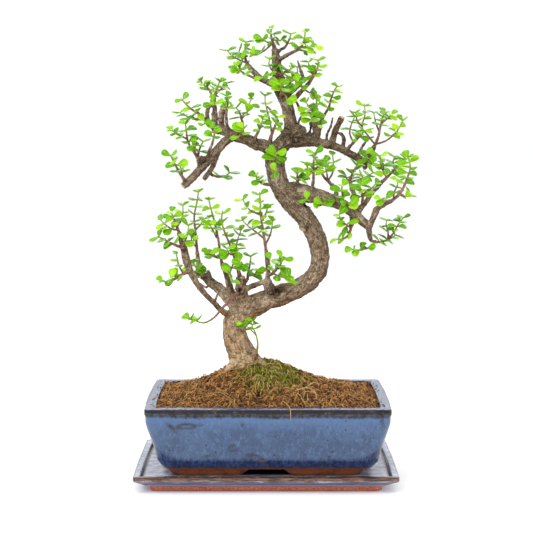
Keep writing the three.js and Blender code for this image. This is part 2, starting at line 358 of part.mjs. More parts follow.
function solidFrom(geometry) {
  geometry.deleteAttribute("normal");
  geometry.deleteAttribute("uv");
  const merged = mergeVertices(geometry, 1e-4);
  const corners = merged.index.array;
  const triangles = [];
  for (let i = 0; i < corners.length; i += 3) {
    const [a, b, c] = [corners[i], corners[i + 1], corners[i + 2]];
    if (a !== b && b !== c && c !== a) triangles.push(a, b, c);
  }
  const mesh = new wasm.Mesh({
    numProp: 3,
    vertProperties: Float32Array.from(merged.attributes.position.array),
    triVerts: Uint32Array.from(triangles),
  });
  return new wasm.Manifold(mesh);
}

function meshFrom(name, solid, look) {
  const cut = solid.getMesh();
  const geometry = new THREE.BufferGeometry();
  geometry.setAttribute("position", new THREE.BufferAttribute(cut.vertProperties, 3));
  geometry.setIndex(new THREE.BufferAttribute(cut.triVerts, 1));
  geometry.computeVertexNormals();
  const mesh = new THREE.Mesh(geometry, look);
  mesh.name = name;
  return mesh;
}

// A round limb through points, one ring of corners at each: a cylinder bent along them.
function limbSolid(points, sides) {
  const last = points.length - 1;
  const geometry = new THREE.CylinderGeometry(1, 1, last, sides, last);
  const position = geometry.attributes.position;
  const frames = [];
  let normal = new THREE.Vector3(0.3, 1, 0.2);
  for (let ring = 0; ring <= last; ring++) {
    const before = points[Math.max(ring - 1, 0)];
    const after = points[Math.min(ring + 1, last)];
    const tangent = points[ring].heading || after.clone().sub(before).normalize();
    normal = normal.clone().addScaledVector(tangent, -normal.dot(tangent)).normalize();
    frames.push({ normal, side: normal.clone().cross(tangent) });
  }
  for (let i = 0; i < position.count; i++) {
    const ring = Math.round(position.getY(i) + last / 2);
    const { normal: up, side } = frames[ring];
    const corner = points[ring].clone()
      .addScaledVector(side, -position.getX(i) * points[ring].radius)
      .addScaledVector(up, position.getZ(i) * points[ring].radius);
    position.setXYZ(i, corner.x, corner.y, corner.z);
  }
  return solidFrom(geometry);
}

// A path without the points that lie close to the straight run past them.
function straightened(path, slack) {
  const kept = [path[0]];
  for (let i = 1; i + 1 < path.length; i++) {
    const run = new THREE.Line3(kept[kept.length - 1], path[i + 1]);
    const nearest = run.closestPointToPoint(path[i], true, new THREE.Vector3());
    if (nearest.distanceTo(path[i]) > slack) kept.push(path[i]);
  }
  kept.push(path[path.length - 1]);
  return kept;
}

// The nearest point to a place on a set of paths.
function nearestOnPaths(place, paths) {
  let best = null;
  let shortest = Infinity;
  const line = new THREE.Line3();
  const candidate = new THREE.Vector3();
  for (const path of paths) {
    for (let i = 0; i + 1 < path.length; i++) {
      line.set(path[i], path[i + 1]).closestPointToPoint(place, true, candidate);
      const distance = candidate.distanceTo(place);
      if (distance < shortest) {
        shortest = distance;
        best = candidate.clone();
      }
    }
  }
  return best;
}

// Rounded rectangle outlines, all with the same number of points, stacked into one closed solid.
const CORNER_STEPS = 3;

// One outline, anticlockwise from the middle of the front, with the short sides bowed out a little.
function roundedOutline({ halfX, halfY, corner, z, bow, offCentre }) {
  const flatY = halfY - corner;
  const rightSide = [-0.5, 0, 0.5].map((part) => [halfX, part * flatY]);
  const leftSide = rightSide.map(([x, y]) => [-x, -y]);
  const sides = [rightSide, [[0, halfY]], leftSide, []];
  const outline = [[0, -halfY]];
  [[1, -1], [1, 1], [-1, 1], [-1, -1]].forEach(([signX, signY], quarter) => {
    for (let step = 0; step <= CORNER_STEPS; step++) {
      const angle = (quarter - 1 + step / CORNER_STEPS) * Math.PI / 2;
      const x = signX * (halfX - corner) + corner * Math.cos(angle);
      const y = signY * flatY + corner * Math.sin(angle);
      outline.push([x, y]);
    }
    outline.push(...sides[quarter]);
  });
  return outline.map(([x, y]) => {
    const bulge = bow * (1 - (y / halfY) ** 2) * (x / halfX);
    return new THREE.Vector3(x + bulge + offCentre, y, z);
  });
}

// The outlines of a wall that is given by its insets from the rim.
function wallOutlines(wall, { rimX, rimY, bow, offCentre }) {
  return wall.map(([inset, z, corner]) => {
    return roundedOutline({ halfX: rimX - inset, halfY: rimY - inset, corner, z, bow, offCentre });
  });
}

function stackedSolid(outlines, bottom, top) {
  const count = outlines[0].length;
  const profile = [new THREE.Vector2(0, 0)];
  outlines.forEach((_, level) => profile.push(new THREE.Vector2(1, level + 1)));
  profile.push(new THREE.Vector2(0, outlines.length + 1));
  const geometry = new THREE.LatheGeometry(profile, count);
  const position = geometry.attributes.position;
  for (let turn = 0; turn <= count; turn++) {
    profile.forEach((_, level) => {
      let place = outlines[Math.min(Math.max(level - 1, 0), outlines.length - 1)][turn % count];
      if (level === 0) place = bottom;
      if (level === profile.length - 1) place = top;
      position.setXYZ(turn * profile.length + level, place.x, place.y, place.z);
    });
  }
  return solidFrom(geometry);
}

// Saucer: a shallow glazed tray with a flat lip over a bare clay base.
function saucerSolid() {
  const outlines = wallOutlines(SAUCER_WALL, SAUCER);
  return stackedSolid(outlines, new THREE.Vector3(0, 0, 0), new THREE.Vector3(0, 0, SAUCER.floor));
}

// Pot: one fired piece with a flat rim, four corner feet and two drain holes.
// A foot is an L round one corner that leans out as it rises, with its two ends sloped back.
function footSolid(signX, signY) {
  const { halfX, halfY, width, corner, frontGap, sideGap, slope, flareX, flareY, sunk } = FOOT;
  const shape = new THREE.Shape();
  shape.moveTo(frontGap, halfY);
  shape.lineTo(halfX - corner, halfY);
  shape.quadraticCurveTo(halfX, halfY, halfX, halfY - corner);
  shape.lineTo(halfX, sideGap);
  shape.lineTo(halfX - width, sideGap);
  shape.lineTo(halfX - width, halfY - width);
  shape.lineTo(frontGap, halfY - width);
  const rise = POT.foot + sunk;
  const rules = { depth: rise, steps: 1, bevelEnabled: false, curveSegments: 4 };
  const geometry = new THREE.ExtrudeGeometry(shape, rules);
  const position = geometry.attributes.position;
  for (let i = 0; i < position.count; i++) {
    let x = position.getX(i);
    let y = position.getY(i);
    if (position.getZ(i) > rise / 2) {
      if (x > halfX - width + 1) x += flareX;
      if (y > halfY - width + 1) y += flareY;
      if (position.getX(i) < frontGap + 1) x -= slope;
      if (position.getY(i) < sideGap + 1) y -= slope;
    }
    position.setXYZ(i, signX * x, signY * y, position.getZ(i) + POT_BASE);
  }
  if (signX * signY < 0) flipFaces(geometry);
  return solidFrom(geometry);
}

function flipFaces(geometry) {
  const position = geometry.attributes.position;
  for (let i = 0; i < position.count; i += 3) {
    const second = new THREE.Vector3().fromBufferAttribute(position, i + 1);
    const third = new THREE.Vector3().fromBufferAttribute(position, i + 2);
    position.setXYZ(i + 1, third.x, third.y, third.z);
    position.setXYZ(i + 2, second.x, second.y, second.z);
  }
}

// The two outlines of the room for soil inside the pot, drawn in by a gap.
function soilRoom(gap) {
  const { topX, topY, lowX, lowY, corner } = SOIL_ROOM;
  const { bow, offCentre } = POT;
  return {
    low: { halfX: lowX - gap, halfY: lowY - gap, corner, z: POT_FLOOR + gap, bow, offCentre },
    top: { halfX: topX - gap, halfY: topY - gap, corner, z: POT_TOP - POT.rimDepth, bow, offCentre },
  };
}

function potSolid() {
  const { offCentre } = POT;
  const room = soilRoom(0);
  const lip = { ...room.top, z: POT_TOP };
  const inside = [lip, room.top, room.low].map(roundedOutline);
  const outlines = [...wallOutlines(POT_WALL, POT), ...inside];
  const underside = new THREE.Vector3(offCentre, 0, POT_UNDERSIDE);
  let pot = stackedSolid(outlines, underside, new THREE.Vector3(offCentre, 0, POT_FLOOR));
  for (const signX of [-1, 1]) {
    for (const signY of [-1, 1]) pot = pot.add(footSolid(signX, signY).translate([FOOT.offCentre, 0, 0]));
    const drill = new THREE.CylinderGeometry(DRAIN.radius, DRAIN.radius, 4 * POT.floor, 12);
    drill.rotateX(Math.PI / 2);
    drill.translate(signX * DRAIN.across + offCentre, 0, POT_UNDERSIDE);
    pot = pot.subtract(solidFrom(drill));
  }
  return pot;
}

// Drain screens: square plastic mesh over each hole, under the soil.
function screenSolid(signX) {
  const { size, thick, holes, hole } = SCREEN;
  const pitch = size / holes;
  let screen = solidFrom(new THREE.BoxGeometry(size, size, thick));
  for (let row = 0; row < holes; row++) {
    for (let column = 0; column < holes; column++) {
      const opening = new THREE.BoxGeometry(hole, hole, 2 * thick);
      opening.translate((column + 0.5) * pitch - size / 2, (row + 0.5) * pitch - size / 2, 0);
      screen = screen.subtract(solidFrom(opening));
    }
  }
  return screen.translate([signX * DRAIN.across + POT.offCentre, 0, POT_FLOOR + GAP + thick / 2]);
}

// Soil: a mound that fills the pot, with plain holes for the trunk and roots.
function soilHeight(x, y) {
  const { edge, rise, peak, peakX, peakY, spreadX, spreadY, lump } = SOIL;
  const fromMiddle = ((x - POT.offCentre) / SOIL_ROOM.topX) ** 4 + (y / SOIL_ROOM.topY) ** 4;
  const acrossPot = 1 - Math.min(1, fromMiddle);
  const mound = Math.exp(-(((x - peakX) / spreadX) ** 2) - ((y - peakY) / spreadY) ** 2);
  const broadLumps = Math.sin(x * 0.21 + 1.3) * Math.cos(y * 0.19 + 0.4);
  const smallLumps = Math.sin(x * 0.47 + y * 0.39);
  return edge + (rise + lump * broadLumps + lump * 0.6 * smallLumps + peak * mound) * acrossPot;
}

// How far out from the peak each ring of the soil's surface is, as a share of the way to the edge
const SOIL_RINGS = [0.9, 0.76, 0.6, 0.45, 0.3, 0.15];

function soilSolid() {
  const room = soilRoom(GAP);
  const wall = [room.low, room.top, { ...room.top, z: SOIL.edge }].map(roundedOutline);
  const edge = wall[2];
  const surface = SOIL_RINGS.map((part) => edge.map(({ x, y }) => {
    const place = new THREE.Vector3(x * part + SOIL.peakX * (1 - part), y * part, 0);
    place.z = soilHeight(place.x, place.y);
    return place;
  }));
  const top = new THREE.Vector3(SOIL.peakX, 0, soilHeight(SOIL.peakX, 0));
  const bottom = new THREE.Vector3(POT.offCentre, 0, POT_FLOOR + GAP);
  let soil = stackedSolid([...wall, ...surface], bottom, top);
  for (const signX of [-1, 1]) {
    const width = SCREEN.size + 2 * GAP;
    const recess = new THREE.BoxGeometry(width, width, 2 * (SCREEN.thick + 2 * GAP));
    recess.translate(signX * DRAIN.across + POT.offCentre, 0, POT_FLOOR + GAP);
    soil = soil.subtract(solidFrom(recess));
  }
  return soil;
}

// Oriented boxes stand for wood, stems and leaves while leaves are bent clear of each other.
function boxBetween(owner, start, end, radius) {
  const along = end.clone().sub(start);
  const length = along.length();
  along.divideScalar(length);
  const other = Math.abs(along.z) < 0.8 ? new THREE.Vector3(0, 0, 1) : new THREE.Vector3(1, 0, 0);
  const side = along.clone().cross(other).normalize();
  return {
    owner,
    centre: start.clone().add(end).multiplyScalar(0.5),
    axes: [along, side, along.clone().cross(side)],
    half: [length / 2, radius, radius],
    reach: Math.hypot(length / 2, radius * Math.SQRT2),
  };
}

function boxesTouch(first, second, margin) {
  const between = second.centre.clone().sub(first.centre);
  if (between.length() > first.reach + second.reach + margin) return false;
  const directions = [...first.axes, ...second.axes];
  for (const one of first.axes) {
    for (const two of second.axes) {
      const crossed = one.clone().cross(two);
      if (crossed.lengthSq() > 1e-4) directions.push(crossed.normalize());
    }
  }
  return directions.every((direction) => {
    let room = margin;
    for (const box of [first, second]) {
      box.axes.forEach((axis, i) => {
        room += Math.abs(axis.dot(direction)) * box.half[i];
      });
    }
    return Math.abs(between.dot(direction)) < room;
  });
}

// A jade leaf: a flattened five-sided lens, pointed at its root and blunt at its tip.
const LEAF_OUTLINE = { tip: [0.95, 0.31], middle: [0.56, 0.5], root: [-0.04, 0] };

function leafSolid(root, along, face, length) {
  const geometry = new THREE.SphereGeometry(1, 5, 2);
  const side = along.clone().cross(face);
  const position = geometry.attributes.position;
  for (let i = 0; i < position.count; i++) {
    const level = position.getY(i);
    const onRim = Math.abs(level) < 0.5;
    const forward = position.getX(i);
    let corner = LEAF_OUTLINE.middle;
    if (forward > 0.5) corner = LEAF_OUTLINE.tip;
    if (forward < -0.5) corner = LEAF_OUTLINE.root;
    const reach = onRim ? corner[0] : 0.5;
    const width = onRim ? Math.sign(position.getZ(i)) * corner[1] * LEAF.widthRatio : 0;
    const height = onRim ? 0 : level * LEAF.thickness / 2;
    const place = root.clone()
      .addScaledVector(along, reach * length)
      .addScaledVector(side, width * length)
      .addScaledVector(face, height);
    position.setXYZ(i, place.x, place.y, place.z);
  }
  return solidFrom(geometry);
}

// A leaf's box is a little slimmer than the leaf, whose rim is thin.
const LEAF_BOX = { thick: 0.8, wide: 0.92 };

function leafBox(owner, root, along, face, length) {
  const halfLength = (length - LEAF.bare) / 2;
  const halfWidth = length * LEAF.widthRatio / 2;
  return {
    owner,
    leaf: true,
    centre: root.clone().addScaledVector(along, LEAF.bare + halfLength),
    axes: [along, face, along.clone().cross(face)],
    half: [halfLength, LEAF.thickness / 2 * LEAF_BOX.thick, halfWidth * LEAF_BOX.wide],
    reach: Math.hypot(halfLength, halfWidth, LEAF.thickness / 2),
  };
}

// The place and direction at a part of the way along a path of straight runs.
function alongPath(path, part) {
  const lengths = path.slice(1).map((point, i) => point.distanceTo(path[i]));
  let left = part * lengths.reduce((sum, length) => sum + length, 0);
  let run = 0;
  while (run < lengths.length - 1 && left > lengths[run]) {
    left -= lengths[run];
    run += 1;
  }
  const direction = path[run + 1].clone().sub(path[run]).normalize();
  return { place: path[run].clone().addScaledVector(direction, left), direction };
}

// Leaves of a shoot in opposite pairs, each pair a quarter turn round from the one before.
// They spread round a line between the shoot's own direction and straight up, and when they are
// placed their faces lean a little to the front, where the light came from.
function leafPlan(sprayIndex, shootIndex, shoot) {
  const [pairs, length, start] = shoot.rule;
  const plan = [];
  for (let pair = 0; pair < pairs; pair++) {
    const part = pairs === 1 ? LEAF.lastPlace : start + (LEAF.lastPlace - start) * pair / (pairs - 1);
    const { place, direction } = alongPath(shoot.path, part);
    direction.z += LEAF.lift;
    direction.normalize();
    const tip = pair === pairs - 1;
    for (const half of [0, 1]) {
      const number = pair * 2 + half;
      const draw = seededRandom(sprayIndex * 5003 + shootIndex * 389 + number * 17 + 11);
      const turn = (pair * 0.5 + half) * Math.PI + shootIndex * SHOOT_TURN + sprayIndex * SPRAY_TURN;
      plan.push({
        place,
        direction,
        turn: turn + (draw() - 0.5) * LEAF.turnRange,
        spread: (tip ? LEAF.tipSpread : LEAF.spread) + (draw() - 0.5) * LEAF.spreadRange,
        roll: (draw() - 0.5) * LEAF.rollRange,
        length: length * (LEAF.shortest + LEAF.lengthRange * draw()) * (tip ? LEAF.tipSize : 1),
        kept: tip || number % LEAF.keepOneIn === 1,
      });
    }
  }
  return plan;
}

// What is tried in turn until a leaf is clear: a swing round its shoot with a change of spread, then a
// smaller leaf.
const POSES = [[0, 0], [0.35, -0.1], [-0.35, -0.1], [0.7, -0.25], [-0.7, -0.25], [1.1, 0.15], [-1.1, 0.15],
  [1.5, -0.3], [-1.5, -0.3]];
const SIZES = [1, 0.82];
const ABOVE_SOIL = 1;

function placeLeaf(leaf, owner, boxes) {
  const start = new THREE.Vector3(0, 0, 1);
  if (Math.abs(leaf.direction.z) > 0.9) start.set(0, 1, 0);
  const across = leaf.direction.clone().cross(start).normalize();
  const over = leaf.direction.clone().cross(across);
  for (const shrink of SIZES) {
    for (const [swing, lift] of POSES) {
      const turn = leaf.turn + swing;
      const spread = leaf.spread + lift;
      const outward = across.clone().multiplyScalar(Math.cos(turn)).addScaledVector(over, Math.sin(turn));
      const along = outward.clone().multiplyScalar(Math.sin(spread))
        .addScaledVector(leaf.direction, Math.cos(spread));
      const face = leaf.direction.clone().multiplyScalar(Math.sin(spread))
        .addScaledVector(outward, -Math.cos(spread));
      const facingFront = -along.clone().cross(face).y;
      face.applyAxisAngle(along, leaf.roll + LEAF.toFront * facingFront);
      const length = leaf.length * shrink;
      const box = leafBox(owner, leaf.place, along, face, length);
      const low = box.centre.z - length * 0.6;
      const onSoil = low < soilHeight(box.centre.x, box.centre.y) + ABOVE_SOIL;
      const blocked = boxes.some((other) => (other.owner !== owner || other.leaf)
        && boxesTouch(box, other, GAP / 2));
      if (!blocked && !onSoil) return { root: leaf.place, along, face, length, box };
    }
  }
  return null;
}

// Wood: every limb and twig joined into one body, with its paths kept for the sprays.
const woodPaths = [];
const woodParts = [];
const boxes = [];

function growLimb(rows, sides) {
  const points = straightened(rows.map(seenPoint), BARK.slack);
  if (woodPaths.length > 0) points[0].copy(nearestOnPaths(points[0], woodPaths));
  woodPaths.push(points);
  woodParts.push(limbSolid(points, sides));
  for (let i = 0; i + 1 < points.length; i++) {
    const radius = Math.max(points[i].radius, points[i + 1].radius);
    boxes.push(boxBetween("trunk", points[i], points[i + 1], radius));
  }
  return points;
}

for (const [, sides, rows] of LIMBS) growLimb(rows, sides);
for (const rows of DRY_TWIGS) growLimb(rows, 3);

// Stems: each shoot's path, the first one going on from its twig after a small gap.
const sprays = SPRAYS.map(([name, twigRows, shootRows]) => {
  const twig = growLimb(twigRows, twigRows[0][3] > 3 ? 4 : 3);
  const twigEnd = twig[twig.length - 1];
  const outward = twigEnd.clone().sub(twig[twig.length - 2]).normalize();
  const shoots = [];
  for (const [pairs, length, start, rows] of shootRows) {
    const path = rows.map(seenPoint);
    if (shoots.length === 0) {
      const seat = twigEnd.clone().addScaledVector(outward, GAP);
      seat.heading = outward;
      path.unshift(seat);
    } else path[0].copy(nearestOnPaths(path[0], shoots.map((shoot) => shoot.path)));
    const base = shoots.length === 0 ? Math.min(STEM.base + 0.2, twigEnd.radius) : STEM.base;
    path.forEach((point, i) => {
      point.radius = base + (STEM.tip - base) * i / (path.length - 1);
    });
    shoots.push({ path: straightened(path, STEM.slack), rule: [pairs, length, start] });
  }
  for (const { path } of shoots) {
    for (let i = 0; i + 1 < path.length; i++) {
      boxes.push(boxBetween(name, path[i], path[i + 1], 0.8 * STEM.base));
    }
  }
  return { name, shoots };
});

function spraySolid({ name, shoots }, sprayIndex) {
  const parts = [];
  shoots.forEach((shoot, shootIndex) => {
    if (shootIndex > 0 && shoot.rule[0] < STEM.fewestPairs) return;
    parts.push(limbSolid(shoot.path, STEM.sides));
    for (const leaf of leafPlan(sprayIndex, shootIndex, shoot)) {
      if (!leaf.kept) continue;
      const placed = placeLeaf(leaf, name, boxes);
      if (!placed) continue;
      boxes.push(placed.box);
      parts.push(leafSolid(placed.root, placed.along, placed.face, placed.length));
    }
  });
  return wasm.Manifold.union(parts);
}

// The bonsai, from the ground up
const group = new THREE.Group();
const glaze = () => material(COLOURS.glaze, 0.25);
group.add(meshFrom("saucer", saucerSolid(), glaze()));
group.add(meshFrom("pot", potSolid(), glaze()));
group.add(meshFrom("drain_screen_left", screenSolid(-1), material(COLOURS.screen, 0.6)));
group.add(meshFrom("drain_screen_right", screenSolid(1), material(COLOURS.screen, 0.6)));

const wood = wasm.Manifold.union(woodParts);
const holeParts = LIMBS.slice(0, 4).map(([, sides], i) => {
  const wider = woodPaths[i].map((point) => Object.assign(point.clone(), { radius: point.radius + 2 * GAP }));
  return limbSolid(wider, sides);
});
group.add(meshFrom("soil", soilSolid().subtract(wasm.Manifold.union(holeParts)), material(COLOURS.soil, 1)));
group.add(meshFrom("trunk", wood, material(COLOURS.bark, 0.9)));
sprays.forEach((spray, i) => {
  group.add(meshFrom(spray.name, spraySolid(spray, i), material(COLOURS.leaf, 0.4)));
});

export default group;
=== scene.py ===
# A dwarf jade bonsai in a glazed rectangular pot on its matching drip saucer.
# The tables and rules are in millimetres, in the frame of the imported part; Blender's pieces are in metres.

import math

import bpy
import numpy as np
from mathutils import Matrix, Vector, kdtree, noise


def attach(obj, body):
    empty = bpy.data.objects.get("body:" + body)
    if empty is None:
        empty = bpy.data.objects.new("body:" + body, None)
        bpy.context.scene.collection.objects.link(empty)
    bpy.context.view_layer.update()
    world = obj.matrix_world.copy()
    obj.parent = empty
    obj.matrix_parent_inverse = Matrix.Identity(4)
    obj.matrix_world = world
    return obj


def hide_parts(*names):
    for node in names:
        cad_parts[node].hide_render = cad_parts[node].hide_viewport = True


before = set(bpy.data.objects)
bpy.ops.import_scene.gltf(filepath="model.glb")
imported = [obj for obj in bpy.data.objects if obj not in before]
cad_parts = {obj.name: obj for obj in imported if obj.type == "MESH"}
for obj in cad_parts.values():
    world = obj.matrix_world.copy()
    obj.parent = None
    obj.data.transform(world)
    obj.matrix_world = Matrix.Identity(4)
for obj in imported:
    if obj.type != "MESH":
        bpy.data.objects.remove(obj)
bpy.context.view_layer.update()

# Driving dimensions, the same as the part's
MM = 0.001
GAP = 0.3
EYE = np.array([0.4, -1690.0, 375.6])

SAUCER = dict(floor=13.5, rim_x=135, rim_y=99.5, bow=0.8, off_centre=0)
POT = dict(rim_x=125, rim_y=96.5, bow=2, off_centre=1.8, rim_width=11.5, rim_depth=7, foot=7.5, floor=5)

# The walls from the ground up. Each level is how far in from the rim, how high, and corner radius.
# The saucer's last two levels are inside it.
SAUCER_WALL = [[18.5, 0, 5], [16.5, 1, 6], [16, 5.2, 6], [11, 6.8, 6], [1.5, 12.2, 4.5],
               [0, 13, 4], [0, 17.2, 4], [0.8, 18, 3.5], [7, 18, 3], [8.3, 13.5, 3]]
POT_WALL = [[19, 21.3, 12], [17, 23.5, 13], [14.3, 26.5, 14], [11.6, 31.5, 14], [9.2, 43, 13],
            [3, 63, 11], [0.9, 72, 8], [0.9, 79, 6], [0, 80.3, 5], [0, 86.2, 4], [0.8, 87, 3.5]]
POT_TOP = POT_WALL[-1][1]
POT_BASE = SAUCER["floor"] + GAP
POT_UNDERSIDE = POT_BASE + POT["foot"]
POT_FLOOR = POT_UNDERSIDE + POT["floor"]

FOOT = dict(half_x=97, half_y=70.5, width=13, corner=13, front_gap=27, side_gap=19, slope=13,
            flare_x=9, flare_y=7, sunk=3, off_centre=0.2)
SOIL_ROOM = dict(top_x=POT["rim_x"] - POT["rim_width"], top_y=POT["rim_y"] - POT["rim_width"],
                 low_x=102, low_y=73.5, corner=9)
SOIL = dict(edge=85, rise=8, peak=29, peak_x=-8, peak_y=2, spread_x=60, spread_y=52, lump=1.1)

LEAF = dict(width_ratio=0.74, thickness=2, bare=1.6, shortest=0.86, length_range=0.28, tip_size=0.88,
            last_place=0.95, lift=1.2, spread=1.38, tip_spread=1.12, spread_range=0.4, turn_range=0.7,
            roll_range=0.8, to_front=0.55, keep_one_in=14)
SHOOT_TURN = 1.9
SPRAY_TURN = 2.3
STEM = dict(base=1.5, tip=1.1, slack=2, fewest_pairs=3)
BARK_SLACK = 1.05
POSES = [[0, 0], [0.35, -0.1], [-0.35, -0.1], [0.7, -0.25], [-0.7, -0.25], [1.1, 0.15], [-1.1, 0.15],
         [1.5, -0.3], [-1.5, -0.3]]

# Limbs of the tree. Each point is across and up as seen from the front eye, depth behind
# the middle of the trunk, and radius. A limb starts on the nearest limb before it.
LIMBS = [
  ["trunk", [[-17, 62, 0, 9], [-18, 90, 0, 13], [-19.5, 108, 0, 17], [-20, 118, 0, 16],
    [-26, 130, 0, 14.5], [-31, 142, 0, 13.2], [-33.5, 156, 2, 12.5], [-30.5, 168, 3, 13],
    [-19, 178, 4, 12.5], [0, 187, 5, 11], [20, 194, 5, 10.8], [38, 202, 3, 10],
    [52, 214, 1, 9.7], [57.5, 229, 0, 9.3], [55, 247, -2, 9.8], [48, 265, -2, 9.8],
    [37, 280, -2, 10], [24, 294, -1, 10], [14, 311, 0, 10], [9.5, 330, 1, 10.2],
    [12, 345, 2, 9.4], [23, 360, 3, 7.6], [26, 371, 3, 7], [25, 380, 3, 6],
    [19.5, 400, 3, 6.6], [13, 412, 3, 5.4], [11.5, 430, 3, 5.3], [9.5, 451, 3, 3.4]]],
  ["root_left", [[-24, 122, -2, 9], [-32, 119, -6, 7], [-40, 112, -10, 4.5], [-46, 104, -13, 3]]],
  ["root_right", [[-14, 122, -3, 8], [-7, 119, -7, 6], [-1, 112, -12, 4.5], [3, 104, -16, 3]]],
  ["root_back", [[-19, 120, 4, 9], [-15, 117, 14, 6], [-10, 108, 22, 3.5]]],
  ["burl", [[27, 362, 2, 5], [32, 364, 0, 8.5], [37, 366, -2, 7.5], [41, 367, -3, 3]]],
  ["cut_knot", [[42, 272, -4, 6], [40, 266, -10, 5], [38.5, 262, -13, 3.6]]],
  ["trunk_scar", [[10, 194, 0, 5], [12, 197, -9, 4.8], [12.5, 198, -12, 3.4]]],

  ["left_bough", [[10, 341, 2, 8], [3, 348, 1, 7], [-4, 351.5, -1, 6.3], [-11, 352.5, -3, 6],
    [-20, 357.5, -6, 5.7], [-30, 360, -9, 5.4], [-36, 361, -11, 5]]],
  ["left_low", [[-34, 360, -10, 4.8], [-41, 357, -13, 4.5], [-50, 348, -18, 4.4], [-58, 339, -22, 4.3],
    [-66, 330, -25, 4.2], [-74, 321, -28, 4], [-81, 314, -30, 3.8], [-88, 308, -33, 3.5]]],
  ["left_low_knob", [[-62, 335, -23, 3], [-67, 337, -30, 2.8], [-69, 338, -33, 2]]],
  ["left_low_cut", [[-49, 349, -17, 3], [-53, 338, -13, 2.6], [-57, 328, -11, 2.5], [-66, 315, -9, 2.3]]],
  ["left_high", [[-35, 361, -10, 5], [-42, 366, -4, 5], [-50, 368, 2, 4.8], [-55, 369, 6, 4]]],
  ["left_high_cut", [[-46, 367, 0, 3.4], [-47, 375, -5, 3], [-47, 384, -8, 3], [-45, 390, -10, 2.7]]],
  ["left_high_dry", [[-53, 369, 4, 1.8], [-52, 380, 0, 1.4], [-53, 393, -2, 1]]],

  ["right_high", [[20, 356, 3, 7], [30, 355, 8, 6], [40.6, 355, 13, 5.3], [52.8, 354.5, 18, 4.8],
    [65, 352, 23, 4.3], [77, 348.5, 28, 3.9], [89, 342, 32, 3.7], [98, 337, 35, 3.8],
    [104, 333, 36, 4.3], [104, 327, 37, 2.6]]],
  ["right_high_cut", [[51, 355, 17, 3.8], [52, 363, 14, 3.5], [53, 372, 10, 3.3], [52, 385, 6, 3.1],
    [48, 395, 3, 2.8]]],
  ["right_high_fork", [[69, 352, 24, 3.6], [70.5, 358, 22, 3.3], [73, 367, 18, 3.1], [80, 381, 11, 2.8]]],
  ["right_high_dry", [[64, 353, 23, 1.8], [64, 362, 27, 1.4], [68, 371, 32, 1.2], [70, 380, 36, 0.9]]],
  ["right_mid_dry", [[96, 339, 34, 1.7], [102, 351, 38, 1.4], [108, 358, 42, 1.2], [113, 360, 45, 0.9]]],

  ["right_bough", [[19, 302, 0, 8], [28, 304, -3, 8.6], [40.6, 301, -8, 8.5], [52.8, 298, -13, 8],
    [65, 294.5, -18, 6.8], [77, 290, -23, 6], [88, 284, -28, 5.5], [95, 277, -31, 5],
    [102, 271, -34, 4.4], [109, 265, -36, 3.6]]],
  ["right_bough_rise", [[97, 277, -31, 3.4], [99, 284, -27, 3], [105, 291, -21, 2.7],
    [111, 300, -15, 2.4], [118, 308, -8, 2]]],
  ["right_bough_knot", [[109, 266, -36, 3.4], [113, 274, -39, 2.8], [116, 282, -41, 3.2],
    [120, 287, -44, 2.4]]],
  ["right_dense", [[86, 285, -27, 3.2], [91, 290, -22, 2.7], [93, 299, -16, 2.4], [90, 307, -10, 2.1]]],
  ["right_inner", [[71, 292, -20, 3], [74, 300, -13, 2.3], [73, 306, -8, 2]]],

  ["low_bough", [[-27, 173, 3, 9], [-34, 183, 9, 7.2], [-40, 190, 15, 6.5], [-48, 198, 22, 5.8],
    [-57, 205, 28, 5], [-65, 212, 33, 4.2], [-70, 218, 36, 3.4], [-72, 228, 39, 2.3]]],
  ["low_bough_stub", [[-58, 206, 28, 2.6], [-60, 213, 24, 2.2], [-62, 219, 21, 1.9]]],
  ["low_front", [[-36, 167, -2, 4.5], [-47, 176, -13, 3], [-55, 184, -21, 2.7], [-64, 193, -28, 2.7],
    [-72, 203, -33, 2.9], [-78, 213, -37, 3.1], [-82, 222, -39, 3.5], [-85, 232, -41, 4],
    [-87, 243, -43, 3.2], [-90, 252, -46, 2.6]]],
  ["low_stump", [[-22, 179, 3, 7.5], [-25, 190, -1, 6.4], [-27, 202, -6, 5.6], [-27, 212, -10, 4.8]]],
  ["low_riser", [[-31, 180, 5, 5], [-37, 196, 3, 4], [-41, 210, -1, 2.8], [-44, 219, -5, 2.3]]],
  ["middle_bridge", [[-25, 197, -4, 3.2], [-15, 202, -8, 2.7], [-8, 205, -11, 2.5], [0, 208, -14, 2.4],
    [2, 216, -16, 2.2], [1, 230, -19, 2]]],
  ["bridge_knot", [[3, 194, -9, 4.6], [2.5, 201, -12, 5], [2, 209, -14, 3.6]]],
]

# Dry twigs without leaves.
DRY_TWIGS = [
  [[35, 405, 0, 1.9], [38, 418, -2, 1.7], [36, 430, 3, 1.5], [33, 440, 8, 1.1]],
  [[24, 394, 3, 1.7], [31, 397, 8, 1.4], [37, 386, 14, 1.2], [46, 384, 19, 0.9]],
  [[33, 366, 2, 1.7], [34, 375, 8, 1.3], [38, 384, 12, 1]],
  [[20, 358, 3, 2], [15, 369, 9, 1.5], [10, 382, 13, 1.2], [1, 392, 17, 0.9]],
  [[54, 356, 19, 2.2], [57, 372, 25, 1.8], [57, 386, 28, 1.5]],
  [[82, 350, 29, 2.3], [82, 358, 33, 2], [79, 363, 36, 1.6], [75, 364, 38, 1.2]],
  [[-59, 203, 28, 1.6], [-64, 201, 36, 1.3], [-70, 205, 44, 1]],
  [[-55, 184, -21, 1.5], [-53, 190, -26, 1.2], [-51, 195, -30, 0.9]],
]

